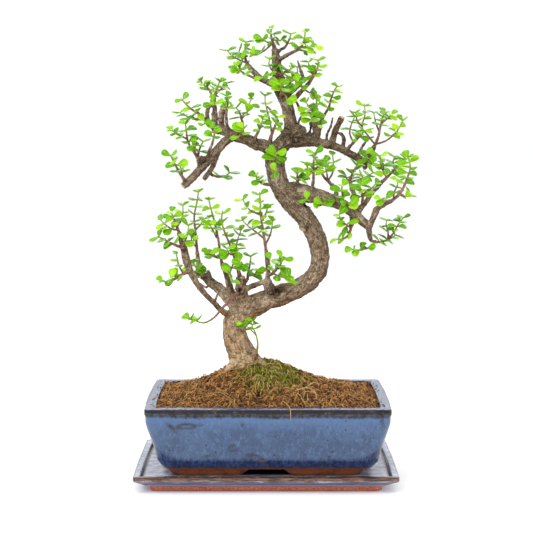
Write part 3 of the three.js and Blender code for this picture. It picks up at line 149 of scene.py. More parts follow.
# Leafy sprays: a woody twig that grows from the nearest limb, then the shoots that it carries.
# A shoot is pairs of leaves, leaf length, where along it the leaves start, and its points.
# The first shoot goes on from the twig's end, and the others start on the nearest earlier shoot.
SPRAYS = [
  ["crown_left_spray", [[13, 413, 3, 3.4], [5, 416, 4, 3.2], [-5, 421, 7, 3], [-13, 428, 10, 2.8],
    [-19, 435, 13, 2.4]], [
    [3, 11, 0.5, [[-22, 443, 15], [-22, 452, 17], [-21, 460, 18]]],
    [4, 11, 0.25, [[-20, 437, 13], [-27, 440, 8], [-36, 445, 4], [-41, 451, 2]]],
    [2, 11, 0.5, [[-22, 444, 15], [-26, 447, 21], [-29, 449, 26]]],
    [3, 11, 0.4, [[-20, 437, 13], [-25, 431, 20], [-33, 433, 25]]]]],
  ["crown_low_left_spray", [[2, 418, 5, 2.2], [-6, 420, -2, 1.6], [-13, 422, -7, 1.4]], [
    [3, 11, 0.3, [[-20, 425, -11], [-27, 429, -14], [-34, 435, -16]]]]],
  ["crown_top_spray", [[9, 449, 3, 2.4], [8, 456, 2, 1.8]], [
    [3, 10, 0.35, [[6, 462, 0], [5, 468, -1], [6, 473, -2]]],
    [3, 11, 0.4, [[7, 458, 1], [1, 459, -6], [-4, 462, -12]]],
    [2, 11, 0.5, [[6, 461, 1], [11, 461, 9], [15, 460, 15]]],
    [3, 10, 0.5, [[7, 458, 1], [-2, 450, -8], [-11, 446, -14], [-18, 448, -18]]]]],
  ["crown_top_right_spray", [[10, 446, 4, 2], [15, 451, 7, 1.6], [19, 453, 10, 1.4]], [
    [3, 11, 0.3, [[22, 457, 12], [25, 464, 14], [26, 468, 15]]]]],
  ["crown_right_spray", [[10.5, 438, 3, 2.6], [15, 441.5, 0, 2.2], [21, 445, -4, 2], [27, 448, -8, 1.7]], [
    [4, 11, 0.35, [[33, 451, -12], [38, 456, -15], [40, 463, -17], [41, 470, -18]]],
    [3, 11, 0.35, [[36, 453, -13], [43, 454, -19], [51, 455, -24]]],
    [3, 11, 0.4, [[33, 451, -12], [38, 450, -5], [45, 449, 0]]]]],
  ["crown_far_right_spray", [[22, 391, 3, 3.4], [26, 397, 0, 2.7], [31, 401, -4, 2.5], [36, 407, -8, 2.3],
    [41, 412, -12, 2.1], [46, 418, -15, 1.9]], [
    [4, 12, 0.3, [[50, 424, -18], [53, 430, -20], [55, 436, -22], [54, 441, -23]]],
    [2, 11, 0.5, [[50, 424, -18], [46, 431, -13], [44, 439, -9]]],
    [2, 10, 0.5, [[49, 422, -17], [51, 424, -9], [52, 427, -3]]]]],
  ["crown_middle_spray", [[15, 409, 4, 2.6], [20, 411, 10, 1.8]], [
    [3, 12, 0.4, [[24, 415, 13], [27, 421, 15], [27, 427, 16]]],
    [3, 11, 0.35, [[25, 417, 14], [31, 421, 20], [33, 428, 24], [32, 434, 27]]],
    [2, 10, 0.5, [[24, 415, 13], [19, 421, 20], [17, 428, 25]]]]],
  ["crown_inner_spray", [[11.5, 424, 2, 2.2], [13, 425, -5, 1.7]], [
    [3, 11, 0.3, [[18, 427, -9], [24, 430, -12], [28, 432, -14]]],
    [3, 11, 0.35, [[14, 426, -7], [7, 429, -12], [3, 436, -16], [4, 442, -18]]],
    [1, 13, 0.9, [[9, 428, -11], [3, 425, -15], [-4, 422, -18]]]]],
  ["crown_front_spray", [[18, 403, 2, 3], [17, 405, -7, 1.8]], [
    [3, 14, 0.35, [[16, 408, -13], [16, 412, -18], [15, 415, -22]]],
    [1, 13, 0.8, [[16, 408, -13], [21, 402, -18], [22, 398, -20]]]]],
  ["crown_side_spray", [[38, 409, -9, 2], [40, 409, -16, 1.6]], [
    [3, 12, 0.45, [[38, 412, -20], [35, 415, -24], [34, 418, -26]]],
    [3, 11, 0.35, [[39, 410, -18], [46, 406, -20], [52, 402, -20], [56, 396, -19]]]]],

  ["left_top_spray", [[-52, 368, 4, 3.2], [-54, 374, 6, 2.7], [-55, 386, 9, 2.5]], [
    [3, 12, 0.62, [[-54, 396, 11], [-53, 406, 13], [-50, 415, 15], [-48, 419, 16]]],
    [3, 11, 0.45, [[-52, 408, 13], [-46, 411, 20], [-40, 417, 26]]],
    [3, 11, 0.4, [[-55, 389, 9], [-57, 393, 0], [-56, 397, -8]]]]],
  ["left_top_back_spray", [[-54, 369, 6, 2.6], [-60, 375, 13, 2.2], [-62, 386, 19, 2], [-58, 395, 24, 1.8]], [
    [4, 11, 0.5, [[-57, 402, 27], [-60, 410, 29], [-66, 415, 31], [-69, 419, 32]]],
    [2, 11, 0.5, [[-57, 402, 27], [-52, 405, 35], [-50, 409, 40]]]]],
  ["left_inner_spray", [[-37, 362, -10, 2.4], [-41, 372, -16, 1.7], [-42, 382, -20, 1.5]], [
    [4, 11, 0.35, [[-41, 391, -23], [-40, 398, -25], [-42, 404, -27]]],
    [1, 10, 0.7, [[-41, 390, -23], [-35, 392, -28]]]]],
  ["left_out_spray", [[-55, 369, 6, 2.6], [-59, 374, 8, 2.1], [-62, 377, 9, 1.8]], [
    [4, 11, 0.4, [[-70, 384, 4], [-77, 388, 0], [-84, 394, -4], [-89, 400, -7]]],
    [4, 12, 0.4, [[-64, 379, 8], [-72, 378, 17], [-80, 380, 24], [-92, 386, 32]]],
    [2, 11, 0.5, [[-63, 378, 8], [-65, 374, -3], [-66, 373, -11]]]]],
  ["left_front_spray", [[-67, 329, -26, 2.4], [-70, 336, -28, 1.8], [-75, 343, -31, 1.6]], [
    [4, 12, 0.4, [[-80, 350, -35], [-83, 358, -38], [-84, 367, -41], [-85, 375, -43]]],
    [3, 12, 0.35, [[-83, 357, -38], [-91, 362, -43], [-100, 367, -48]]],
    [3, 11, 0.4, [[-77, 345, -32], [-75, 350, -40], [-77, 354, -46]]]]],
  ["left_drop_spray", [[-69, 326, -26, 2.2], [-71, 331, -20, 1.8], [-72, 337, -14, 1.5]], [
    [3, 11, 0.4, [[-71, 344, -9], [-69, 350, -6], [-66, 356, -3]]]]],
  ["left_hook_spray", [[-61, 336, -23, 1.9], [-60, 345, -33, 1.5], [-57, 352, -38, 1.3]], [
    [3, 11, 0.45, [[-55, 360, -42], [-54, 366, -44], [-55, 370, -45]]]]],
  ["left_end_spray", [[-84, 312, -31, 2.2], [-87, 316, -36, 1.8]], [
    [4, 12, 0.35, [[-91, 322, -41], [-96, 331, -46], [-101, 341, -51]]],
    [3, 11, 0.4, [[-88, 318, -38], [-89, 324, -30], [-91, 330, -24]]]]],
  ["left_under_spray", [[-60, 323, -10, 1.9], [-57, 320, -4, 1.5]], [
    [3, 14, 0.35, [[-50, 318, 1], [-43, 319, 5], [-38, 323, 8]]]]],

  ["middle_left_spray", [[-25, 359, -7, 2.4], [-25, 368, -2, 1.7], [-25, 375, 2, 1.5]], [
    [3, 11, 0.35, [[-26, 380, 4], [-28, 386, 7], [-32, 391, 9]]],
    [3, 12, 0.4, [[-25, 379, 4], [-20, 386, 11], [-18, 394, 15], [-15, 401, 18]]]]],
  ["middle_front_spray", [[-26, 359, -8, 2.2], [-26, 362, -16, 1.7]], [
    [3, 12, 0.4, [[-25, 365, -20], [-24, 369, -24]]],
    [1, 11, 0.8, [[-25, 364, -19], [-29, 360, -24]]]]],
  ["middle_spray", [[-11, 353, -4, 2.1], [-11, 360, -11, 1.6]], [
    [3, 11, 0.4, [[-8, 366, -15], [-5, 373, -19], [-3, 381, -22]]]]],
  ["middle_right_spray", [[4, 349, 0, 2.6], [5, 360, -7, 2]], [
    [3, 11, 0.4, [[8, 368, -12], [11, 376, -16], [12, 382, -18]]],
    [4, 11, 0.35, [[6, 363, -9], [4, 376, -3], [1, 388, 1], [-1, 397, 4], [-1, 405, 6]]]]],
  ["trunk_front_spray", [[9, 329, 0, 4], [9, 331, -12, 2]], [
    [3, 14, 0.35, [[9, 334, -17], [10, 339, -21], [11, 344, -24]]],
    [1, 13, 0.8, [[9, 334, -17], [8, 328, -22], [10, 323, -25]]]]],
  ["trunk_left_spray", [[12, 309, 0, 3], [1, 310, -5, 1.7]], [
    [3, 13, 0.3, [[-4, 311, -8], [-9, 315, -11], [-11, 319, -13]]]]],

  ["right_top_spray", [[44, 355, 14, 3], [45, 363, 20, 2.5], [48, 373, 26, 2.2], [50, 380, 30, 1.8]], [
    [3, 11, 0.35, [[51, 386, 32], [53, 394, 34], [53, 400, 35]]]]],
  ["right_inner_spray", [[53, 371, 10, 2.4], [51, 374, 2, 1.8]], [
    [3, 14, 0.45, [[50, 377, -3], [48, 380, -8], [47, 383, -11]]],
    [3, 11, 0.4, [[51, 376, -1], [49, 386, -6], [45, 392, -10], [41, 397, -13]]],
    [1, 12, 0.8, [[50, 377, -3], [55, 374, -9], [58, 372, -13]]]]],
  ["right_shoot_spray", [[57, 373, 25, 1.9], [60, 381, 22, 1.6], [63, 386, 20, 1.4]], [
    [5, 11, 0.15, [[66, 391, 19], [68, 399, 17], [71, 407, 15], [75, 414, 14]]]]],
  ["right_arch_spray", [[85, 345, 30, 2.2], [88, 350, 23, 1.8], [91, 353, 18, 1.6]], [
    [4, 11, 0.3, [[95, 357, 13], [100, 362, 8], [104, 367, 4]]],
    [3, 11, 0.5, [[92, 354, 17], [88, 364, 25], [90, 374, 30], [94, 383, 33]]]]],
  ["right_far_spray", [[102, 335, 36, 3.4], [107, 336, 34, 3], [110, 343, 31, 2.8], [114, 350, 27, 2.4]], [
    [4, 11, 0.6, [[118, 360, 25], [120, 370, 26], [122, 379, 27], [125, 387, 28]]],
    [2, 11, 0.5, [[119, 366, 25], [115, 376, 30], [113, 386, 33]]],
    [3, 11, 0.5, [[121, 374, 26], [127, 379, 20], [132, 384, 16]]],
    [5, 11, 0.4, [[115, 352, 26], [106, 363, 37], [101, 371, 44], [104, 384, 50], [103, 395, 54]]],
    [3, 11, 0.5, [[101, 371, 44], [96, 377, 50], [94, 386, 54]]],
    [4, 11, 0.5, [[115, 352, 26], [126, 356, 16], [135, 363, 9], [141, 371, 4], [144, 379, 1]]]]],
  ["right_end_spray", [[104, 332, 36, 2.4], [108, 330, 29, 1.8]], [
    [3, 11, 0.35, [[109, 333, 24], [107, 338, 19], [104, 343, 15]]],
    [1, 11, 0.8, [[109, 332, 25], [114, 330, 20]]]]],

  ["right_drop_spray", [[92, 280, -30, 3.2], [91, 272, -34, 2.6], [90, 266, -37, 2.2]], [
    [4, 11, 0.35, [[89, 261, -40], [86, 255, -43], [80, 252, -46], [75, 252, -48]]],
    [3, 13, 0.3, [[90, 264, -38], [84, 268, -44], [79, 273, -48], [77, 279, -50]]]]],
  ["right_low_spray", [[109, 265, -36, 2.8], [109, 258, -32, 2.5], [111, 251, -28, 2.2]], [
    [5, 11, 0.3, [[117, 249, -23], [125, 250, -18], [132, 253, -13], [138, 257, -9]]],
    [3, 11, 0.4, [[116, 249, -24], [109, 243, -31], [99, 241, -39], [91, 241, -44]]],
    [4, 11, 0.35, [[130, 252, -14], [135, 259, -21], [140, 268, -26], [146, 276, -30]]],
    [3, 11, 0.4, [[129, 252, -15], [129, 260, -7], [127, 268, -1], [128, 273, 2]]]]],
  ["right_long_spray", [[119, 286, -43, 2.6], [126, 289.5, -47, 2.2], [133, 293, -50, 2]], [
    [6, 12, 0.42, [[140, 299, -52], [145, 307, -53], [149, 317, -54], [152, 328, -55], [149, 341, -56]]],
    [3, 11, 0.35, [[135, 295, -50], [135, 301, -42], [138, 308, -37], [140, 315, -34]]],
    [2, 11, 0.6, [[134, 294, -50], [127, 293, -58], [121, 294, -63]]],
    [2, 11, 0.6, [[140, 299, -52], [147, 297, -46], [152, 299, -42]]]]],
  ["right_rise_spray", [[117, 307, -9, 2.4], [121, 311.5, -5, 2], [125, 315, -2, 1.8]], [
    [5, 12, 0.3, [[130, 320, 3], [135, 325, 7], [142, 331, 11], [149, 338, 14]]],
    [4, 12, 0.35, [[127, 317, 0], [123, 325, -8], [121, 333, -13], [120, 341, -16]]],
    [3, 11, 0.5, [[135, 325, 7], [134, 333, 14], [135, 340, 19]]]]],
  ["right_dense_spray", [[91, 306, -11, 2.2], [89, 311, -7, 2]], [
    [4, 12, 0.25, [[89, 316, -4], [92, 324, 1], [96, 331, 5]]],
    [4, 12, 0.35, [[89, 313, -6], [97, 315, -14], [105, 318, -19], [114, 323, -23]]],
    [2, 12, 0.6, [[89, 313, -6], [85, 316, 3], [84, 320, 8]]]]],
  ["right_face_spray", [[80, 289, -24, 2.8], [81, 292, -33, 1.9]], [
    [3, 14, 0.3, [[81, 297, -38], [80, 304, -42], [80, 309, -44]]],
    [2, 13, 0.5, [[81, 294, -35], [86, 290, -41], [90, 287, -44]]]]],
  ["right_front_spray", [[104, 290, -22, 2.4], [102, 292, -31, 1.8]], [
    [3, 14, 0.3, [[102, 297, -36], [101, 303, -40], [98, 309, -43]]],
    [3, 12, 0.35, [[102, 298, -37], [109, 304, -42], [116, 311, -46]]]]],
  ["right_inner_rise_spray", [[73, 305, -8, 2.2], [70, 309, -3, 1.9], [67, 312, 0, 1.7]], [
    [4, 11, 0.35, [[61, 318, 5], [57, 326, 9], [53, 335, 12], [50, 341, 14]]],
    [3, 11, 0.45, [[65, 314, 1], [70, 322, 8], [71, 331, 12], [70, 342, 15]]],
    [2, 11, 0.6, [[64, 315, 2], [64, 322, -5], [62, 329, -9]]]]],
  ["bough_middle_spray", [[49, 299, -12, 3], [49, 308, -20, 1.8], [50, 316, -25, 1.5]], [
    [4, 12, 0.3, [[50, 325, -29], [50, 334, -32], [51, 344, -35]]],
    [2, 13, 0.6, [[50, 324, -29], [56, 330, -36], [61, 333, -40]]],
    [2, 13, 0.6, [[50, 322, -28], [44, 327, -33], [43, 333, -36]]]]],
  ["bough_top_spray", [[34, 303, -6, 3], [33, 313, -12, 1.8]], [
    [3, 14, 0.35, [[33, 318, -15], [33, 323, -18]]],
    [2, 13, 0.5, [[33, 315, -13], [39, 315, -18], [44, 317, -21]]]]],
  ["bough_under_spray", [[52, 297, -13, 3], [53, 290, -20, 1.6]], [
    [3, 11, 0.35, [[55, 288, -24], [60, 289, -29], [64, 292, -33]]],
    [1, 12, 0.9, [[54, 289, -22], [48, 292, -28], [42, 294, -32]]]]],

  ["low_back_spray", [[-72, 227, 38, 2.3], [-73, 238, 41, 2]], [
    [5, 11, 0.48, [[-74, 250, 44], [-75, 262, 46], [-76, 276, 48], [-73, 292, 50], [-71, 305, 51]]],
    [3, 11, 0.5, [[-73, 243, 42], [-78, 249, 36], [-80, 257, 32]]],
    [2, 11, 0.5, [[-75, 262, 46], [-69, 268, 53], [-66, 274, 58]]]]],
  ["low_tip_spray", [[-89, 250, -45, 2.8], [-92, 259, -48, 2.3]], [
    [3, 11, 0.5, [[-95, 267, -51], [-98, 275, -53], [-101, 282, -55]]],
    [4, 11, 0.35, [[-93, 262, -49], [-100, 263, -57], [-107, 268, -62], [-112, 273, -66]]],
    [3, 11, 0.4, [[-94, 265, -50], [-90, 272, -42], [-88, 280, -37], [-88, 289, -33]]]]],
  ["low_left_spray", [[-86, 241, -42, 2.6], [-89, 243, -50, 2]], [
    [4, 12, 0.35, [[-94, 245, -54], [-101, 248, -57], [-108, 252, -60], [-115, 255, -62]]],
    [3, 12, 0.35, [[-90, 245, -51], [-86, 250, -60], [-83, 258, -65], [-82, 268, -68]]]]],
  ["low_drop_spray", [[-80, 219, -38, 2.6], [-86, 216, -45, 1.8]], [
    [5, 12, 0.25, [[-92, 213, -50], [-98, 209, -53], [-105, 207, -56], [-111, 208, -58]]],
    [3, 11, 0.35, [[-88, 216, -46], [-92, 223, -41], [-94, 230, -38], [-95, 237, -36]]]]],
  ["low_inner_spray", [[-66, 213, 33, 2.4], [-68, 211, 24, 1.8]], [
    [3, 13, 0.3, [[-72, 214, 18], [-77, 218, 12], [-83, 218, 6]]],
    [3, 11, 0.4, [[-71, 213, 19], [-74, 221, 13], [-77, 228, 9]]]]],
  ["low_riser_spray", [[-44, 218, -4, 2.4], [-47, 227, -9, 2.1]], [
    [5, 11, 0.45, [[-49, 240, -13], [-51, 254, -16], [-55, 272, -20], [-59, 287, -23], [-61, 297, -25]]],
    [3, 13, 0.4, [[-48, 232, -10], [-54, 233, -18], [-61, 237, -25]]],
    [2, 11, 0.6, [[-51, 254, -16], [-57, 263, -24], [-61, 270, -29]]]]],
  ["low_front_spray", [[-27, 208, -8, 3], [-29, 217, -16, 1.9], [-31, 226, -21, 1.7]], [
    [5, 11, 0.4, [[-35, 237, -25], [-39, 248, -29], [-44, 260, -33], [-47, 272, -36], [-46, 282, -38]]],
    [5, 11, 0.3, [[-33, 232, -23], [-32, 241, -17], [-30, 252, -13], [-26, 263, -10]]],
    [3, 11, 0.5, [[-34, 235, -24], [-39, 237, -33], [-42, 243, -38]]],
    [3, 13, 0.4, [[-33, 231, -23], [-36, 223, -30], [-38, 215, -34], [-36, 205, -35]]],
    [2, 13, 0.5, [[-33, 231, -23], [-28, 225, -31], [-26, 226, -36]]]]],
  ["middle_low_spray", [[-26, 203, -6, 3], [-20, 209, -1, 1.8]], [
    [3, 11, 0.35, [[-19, 217, 3], [-17, 226, 6], [-16, 235, 8]]],
    [3, 12, 0.3, [[-19, 213, 1], [-13, 214, -5], [-10, 219, -9]]]]],
  ["middle_riser_spray", [[1, 228, -19, 2.2], [0, 240, -22, 2]], [
    [6, 11, 0.35, [[-2, 253, -25], [-4, 266, -28], [-6, 280, -31], [-6, 291, -33], [-7, 302, -35]]],
    [3, 11, 0.3, [[-6, 278, -31], [-14, 281, -37], [-20, 286, -41], [-25, 295, -45]]],
    [4, 11, 0.3, [[-2, 252, -25], [-11, 260, -18], [-19, 266, -14], [-26, 273, -11]]],
    [3, 11, 0.4, [[-1, 246, -24], [4, 256, -19], [6, 264, -15], [7, 272, -13]]],
    [2, 11, 0.5, [[-5, 272, -29], [0, 280, -24], [2, 288, -21]]]]],
  ["middle_face_spray", [[2, 214, -16, 2.2], [6, 215, -21, 1.7]], [
    [4, 13, 0.3, [[10, 219, -25], [15, 225, -29], [18, 232, -32]]],
    [4, 13, 0.3, [[7, 216, -22], [13, 213, -30], [20, 211, -34], [26, 210, -37]]],
    [2, 11, 0.5, [[8, 217, -23], [4, 225, -30], [4, 231, -34]]]]],
  ["long_low_spray", [[-27, 196, -4, 3], [-31, 195, -13, 1.6]], [
    [3, 14, 0.86, [[-38, 188, -19], [-47, 178, -26], [-56, 168, -31], [-66, 163, -35], [-75, 165, -38],
      [-84, 168, -40]]]]],
  ["basal_spray", [[-18, 120, -6, 4], [-10, 130, -16, 1.8]], [
    [3, 10, 0.72, [[-9, 141, -19], [-11, 151, -21], [-15, 160, -22], [-15, 167, -23]]],
    [2, 9, 0.8, [[-11, 150, -21], [-18, 157, -27], [-25, 163, -31]]]]],
]



# Mesh helpers


def linked(name, data):
    thing = bpy.data.objects.new(name, data)
    bpy.context.collection.objects.link(thing)
    return thing


def new_mesh(name, points, faces):
    mesh = bpy.data.meshes.new(name)
    mesh.from_pydata((np.asarray(points) * MM).tolist(), [], faces)
    return mesh


class Soup:
    """Points, faces and named values of a piece while it is put together, in millimetres."""

    def __init__(self):
        self.points = []
        self.faces = []
        self.values = {}
        self.count = 0

    def add(self, points, faces, **values):
        """Takes in a shape. Each value is one for the whole shape or one for each of its points."""
        size = len(points)
        self.points.append(np.asarray(points, float))
        self.faces.extend([tuple(corner + self.count for corner in face) for face in faces])
        for name, value in values.items():
            column = np.asarray(value, float)
            column = column.reshape(size, -1) if column.ndim else np.full((size, 1), column)
            self.values.setdefault(name, []).append(column)
        self.count += size

    def piece(self, name, look, slot, *nodes):
        """The shown piece, with its finish, and the nodes it stands for."""
        mesh = new_mesh(name, np.vstack(self.points), self.faces)
        mesh.polygons.foreach_set("use_smooth", [True] * len(mesh.polygons))
        for key, columns in self.values.items():
            column = np.vstack(columns)
            kind, field = ("FLOAT", "value") if column.shape[1] == 1 else ("FLOAT_VECTOR", "vector")
            mesh.attributes.new(key, kind, "POINT").data.foreach_set(field, column.ravel())
        mesh.materials.append(look)
        mesh.update()
        piece = linked(name, mesh)
        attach(piece, "root")
        if nodes:
            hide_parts(*nodes)


def unit(vector):
    return vector / max(np.linalg.norm(vector), 1e-9)


def seeded_random(seed):
    """The same draws as the part's source."""
    state = seed

    def draw():
        nonlocal state
        state = (state * 1664525 + 1013904223) & 0xFFFFFFFF
        return state / 4294967296

    draw()
    draw()
    return draw


def seen_point(row):
    """A point read across and up from the eye, pushed along the line of sight to its depth."""
    across, up, depth = row[:3]
    away = (depth - EYE[1]) / -EYE[1]
    return np.array([EYE[0] + (across - EYE[0]) * away, depth, EYE[2] + (up - EYE[2]) * away])


def seen_path(rows):
    return [(seen_point(row), row[3] if len(row) > 3 else 0.0) for row in rows]


def on_run(place, start, end):
    """The nearest point to a place on a straight run."""
    run = end - start
    part = np.dot(place - start, run) / max(np.dot(run, run), 1e-12)
    return start + run * min(max(part, 0.0), 1.0)


def straightened(path, slack):
    """A path without the points that lie close to the straight run past them."""
    kept = [path[0]]
    for point, after in zip(path[1:], path[2:]):
        if np.linalg.norm(on_run(point[0], kept[-1][0], after[0]) - point[0]) > slack:
            kept.append(point)
    return [*kept, path[-1]]


def nearest_on_paths(place, paths):
    found = [on_run(place, start, end) for path in paths for (start, _), (end, _) in zip(path, path[1:])]
    return min(found, key=lambda candidate: np.linalg.norm(candidate - place))


def smooth_path(path, spacing):
    """A curve through the points of a path, with a radius at each of its closer points."""
    rows = np.array([[*place, radius] for place, radius in path])
    rows = np.vstack([2 * rows[0] - rows[1], rows, 2 * rows[-1] - rows[-2]])
    curve = []
    for i in range(1, len(rows) - 2):
        before, start, end, after = rows[i - 1:i + 3]
        run = np.linalg.norm(end[:3] - start[:3])
        steps = max(1, math.ceil(run / spacing))
        lean_in = (end - before) / 2
        lean_out = (after - start) / 2
        for lean in (lean_in, lean_out):
            lean *= min(1.0, 1.2 * run / max(np.linalg.norm(lean[:3]), 1e-9))
        for step in range(steps):
            t = step / steps
            curve.append((2 * t**3 - 3 * t**2 + 1) * start + (t**3 - 2 * t**2 + t) * lean_in
                         + (3 * t**2 - 2 * t**3) * end + (t**3 - t**2) * lean_out)
    curve = np.array([*curve, rows[-2]])
    curve[:, 3] = np.clip(curve[:, 3], min(radius for _, radius in path) * 0.9, None)
    return curve


def path_frames(centres):
    """Tangent, normal and side at each point of a curve, without twist."""
    frames = []
    normal = np.array([0.3, 1, 0.2])
    for tangent in np.gradient(centres, axis=0):
        tangent = unit(tangent)
        normal = normal - tangent * np.dot(normal, tangent)
        if np.linalg.norm(normal) < 1e-3:
            normal = np.cross(tangent, [1, 0, 0.3])
        normal = unit(normal)
        frames.append((tangent, normal, np.cross(tangent, normal)))
    return frames


def strips(rings, count, start=0):
    """Four-sided faces between each closed outline of count points and the next."""
    faces = []
    for low in range(start, start + (rings - 1) * count, count):
        for k in range(count):
            following = (k + 1) % count
            faces.append((low + k, low + following, low + count + following, low + count + k))
    return faces


def tube_mesh(curve, sides, end_round=0.5):
    """A closed round tube along a curve of x, y, z and radius, with domed ends."""
    first, last = curve[0], curve[-1]
    frames = path_frames(curve[:, :3])
    points = [first[:3] - frames[0][0] * first[3] * end_round]
    for row, (_, normal, side) in zip(curve, frames):
        for corner in range(sides):
            angle = 2 * math.pi * corner / sides
            points.append(row[:3] + row[3] * (math.cos(angle) * normal + math.sin(angle) * side))
    points.append(last[:3] + frames[-1][0] * last[3] * end_round)
    end = len(points) - 1
    low = end - sides
    faces = [(0, 1 + (k + 1) % sides, 1 + k) for k in range(sides)]
    faces += strips(len(curve), sides, 1)
    faces += [(low + k, low + (k + 1) % sides, end) for k in range(sides)]
    return np.array(points), faces


def shaped_noise(places, scale, seed=0.0):
    """Smooth noise from -1 to 1 at each place, with features about scale across."""
    shift = Vector((seed * 17.3, seed * 5.1, -seed * 9.7))
    return np.array([noise.noise(Vector(place) / scale + shift) for place in places.tolist()])


def band(values, middle, width):
    return np.exp(-((values - middle) / width) ** 2)


# Materials


def colour(red, green, blue):
    """A screen colour from 0 to 255 as the light values that Blender wants."""
    values = [part / 255 for part in (red, green, blue)]
    return [part / 12.92 if part < 0.04045 else ((part + 0.055) / 1.055) ** 2.4 for part in values] + [1.0]


class Look:
    """A material's nodes, with short calls for the ones used here."""

    def __init__(self, name, **constants):
        self.material = bpy.data.materials.new(name)
        self.material.use_nodes = True
        self.tree = self.material.node_tree
        self.shader = self.tree.nodes["Principled BSDF"]
        self.set(**constants)
        where = self.tree.nodes.new("ShaderNodeTexCoord").outputs["Object"]
        self.place = self.vector("MULTIPLY", where, (1000, 1000, 1000))
        self.height = self.node("ShaderNodeSeparateXYZ", {0: self.place}).outputs["Z"]

    def node(self, kind, inputs, **settings):
        made = self.tree.nodes.new(kind)
        for key, value in settings.items():
            setattr(made, key, value)
        for key, value in inputs.items():
            self.feed(made.inputs[key], value)
        return made

    def feed(self, socket, value):
        if isinstance(value, bpy.types.NodeSocket):
            self.tree.links.new(value, socket)
        else:
            socket.default_value = value

    def set(self, **sockets):
        for socket, value in sockets.items():
            self.feed(self.shader.inputs[socket.replace("_", " ")], value)

    def vector(self, operation, first, second):
        return self.node("ShaderNodeVectorMath", {0: first, 1: second}, operation=operation).outputs[0]

    def value(self, operation, first, second=0.0, third=0.0):
        return self.node("ShaderNodeMath", {0: first, 1: second, 2: third}, operation=operation).outputs[0]

    def attribute(self, name, output="Fac"):
        return self.node("ShaderNodeAttribute", {}, attribute_name=name).outputs[output]

    def noise(self, size, detail=3.0, rough=0.55, warp=0.0, stretch=None, where=None):
        """Noise from 0 to 1 with features about size millimetres across."""
        where = self.place if where is None else where
        if stretch is not None:
            where = self.vector("MULTIPLY", where, stretch)
        inputs = {"Vector": where, "Scale": 1 / size, "Detail": detail, "Roughness": rough,
                  "Distortion": warp}
        return self.node("ShaderNodeTexNoise", inputs).outputs["Fac"]

    def cells(self, size, where=None, feature="F1"):
        """Distance to the middles, or to the edges, of cells about size millimetres across."""
        inputs = {"Vector": self.place if where is None else where, "Scale": 1 / size}
        return self.node("ShaderNodeTexVoronoi", inputs, feature=feature).outputs["Distance"]

    def steps(self, factor, low, high):
        """0 below low, 1 above high, and a smooth rise between them."""
        inputs = {"Value": factor, "From Min": low, "From Max": high}
        return self.node("ShaderNodeMapRange", inputs, interpolation_type="SMOOTHSTEP").outputs["Result"]

    def spots(self, size, low, high, **settings):
        """The places where noise passes from low to high."""
        return self.steps(self.noise(size, **settings), low, high)

    def dots(self, size, low, high, where=None):
        """Round marks at the middles of cells, from low to high in distance."""
        return self.steps(self.cells(size, where), low, high)

    def ramp(self, factor, *stops):
        made = self.node("ShaderNodeValToRGB", {"Fac": factor})
        elements = made.color_ramp.elements
        while len(elements) < len(stops):
            elements.new(0.5)
        for element, (position, shade) in zip(elements, stops):
            element.position = position
            element.color = colour(*shade)
        return made.outputs["Color"]

    def mix(self, factor, first, second, blend="MIX"):
        made = self.node("ShaderNodeMix", {}, data_type="RGBA", blend_type=blend)
        self.feed(made.inputs[0], factor)
        for socket, value in ((made.inputs[6], first), (made.inputs[7], second)):
            self.feed(socket, colour(*value) if isinstance(value, tuple) else value)
        return made.outputs[2]

    def over(self, shade, coat, *masks, blend="MIX"):
        """A shade with a coat over it, as thick as the product of the masks."""
        share = masks[0]
        for mask in masks[1:]:
            share = self.value("MULTIPLY", share, mask)
        return self.mix(share, shade, coat, blend)

    def bump(self, height, distance, strength=1.0):
        inputs = {"Height": height, "Distance": distance * MM, "Strength": strength}
        socket = self.shader.inputs["Normal"]
        if socket.links:
            inputs["Normal"] = socket.links[0].from_socket
        self.feed(socket, self.node("ShaderNodeBump", inputs).outputs["Normal"])


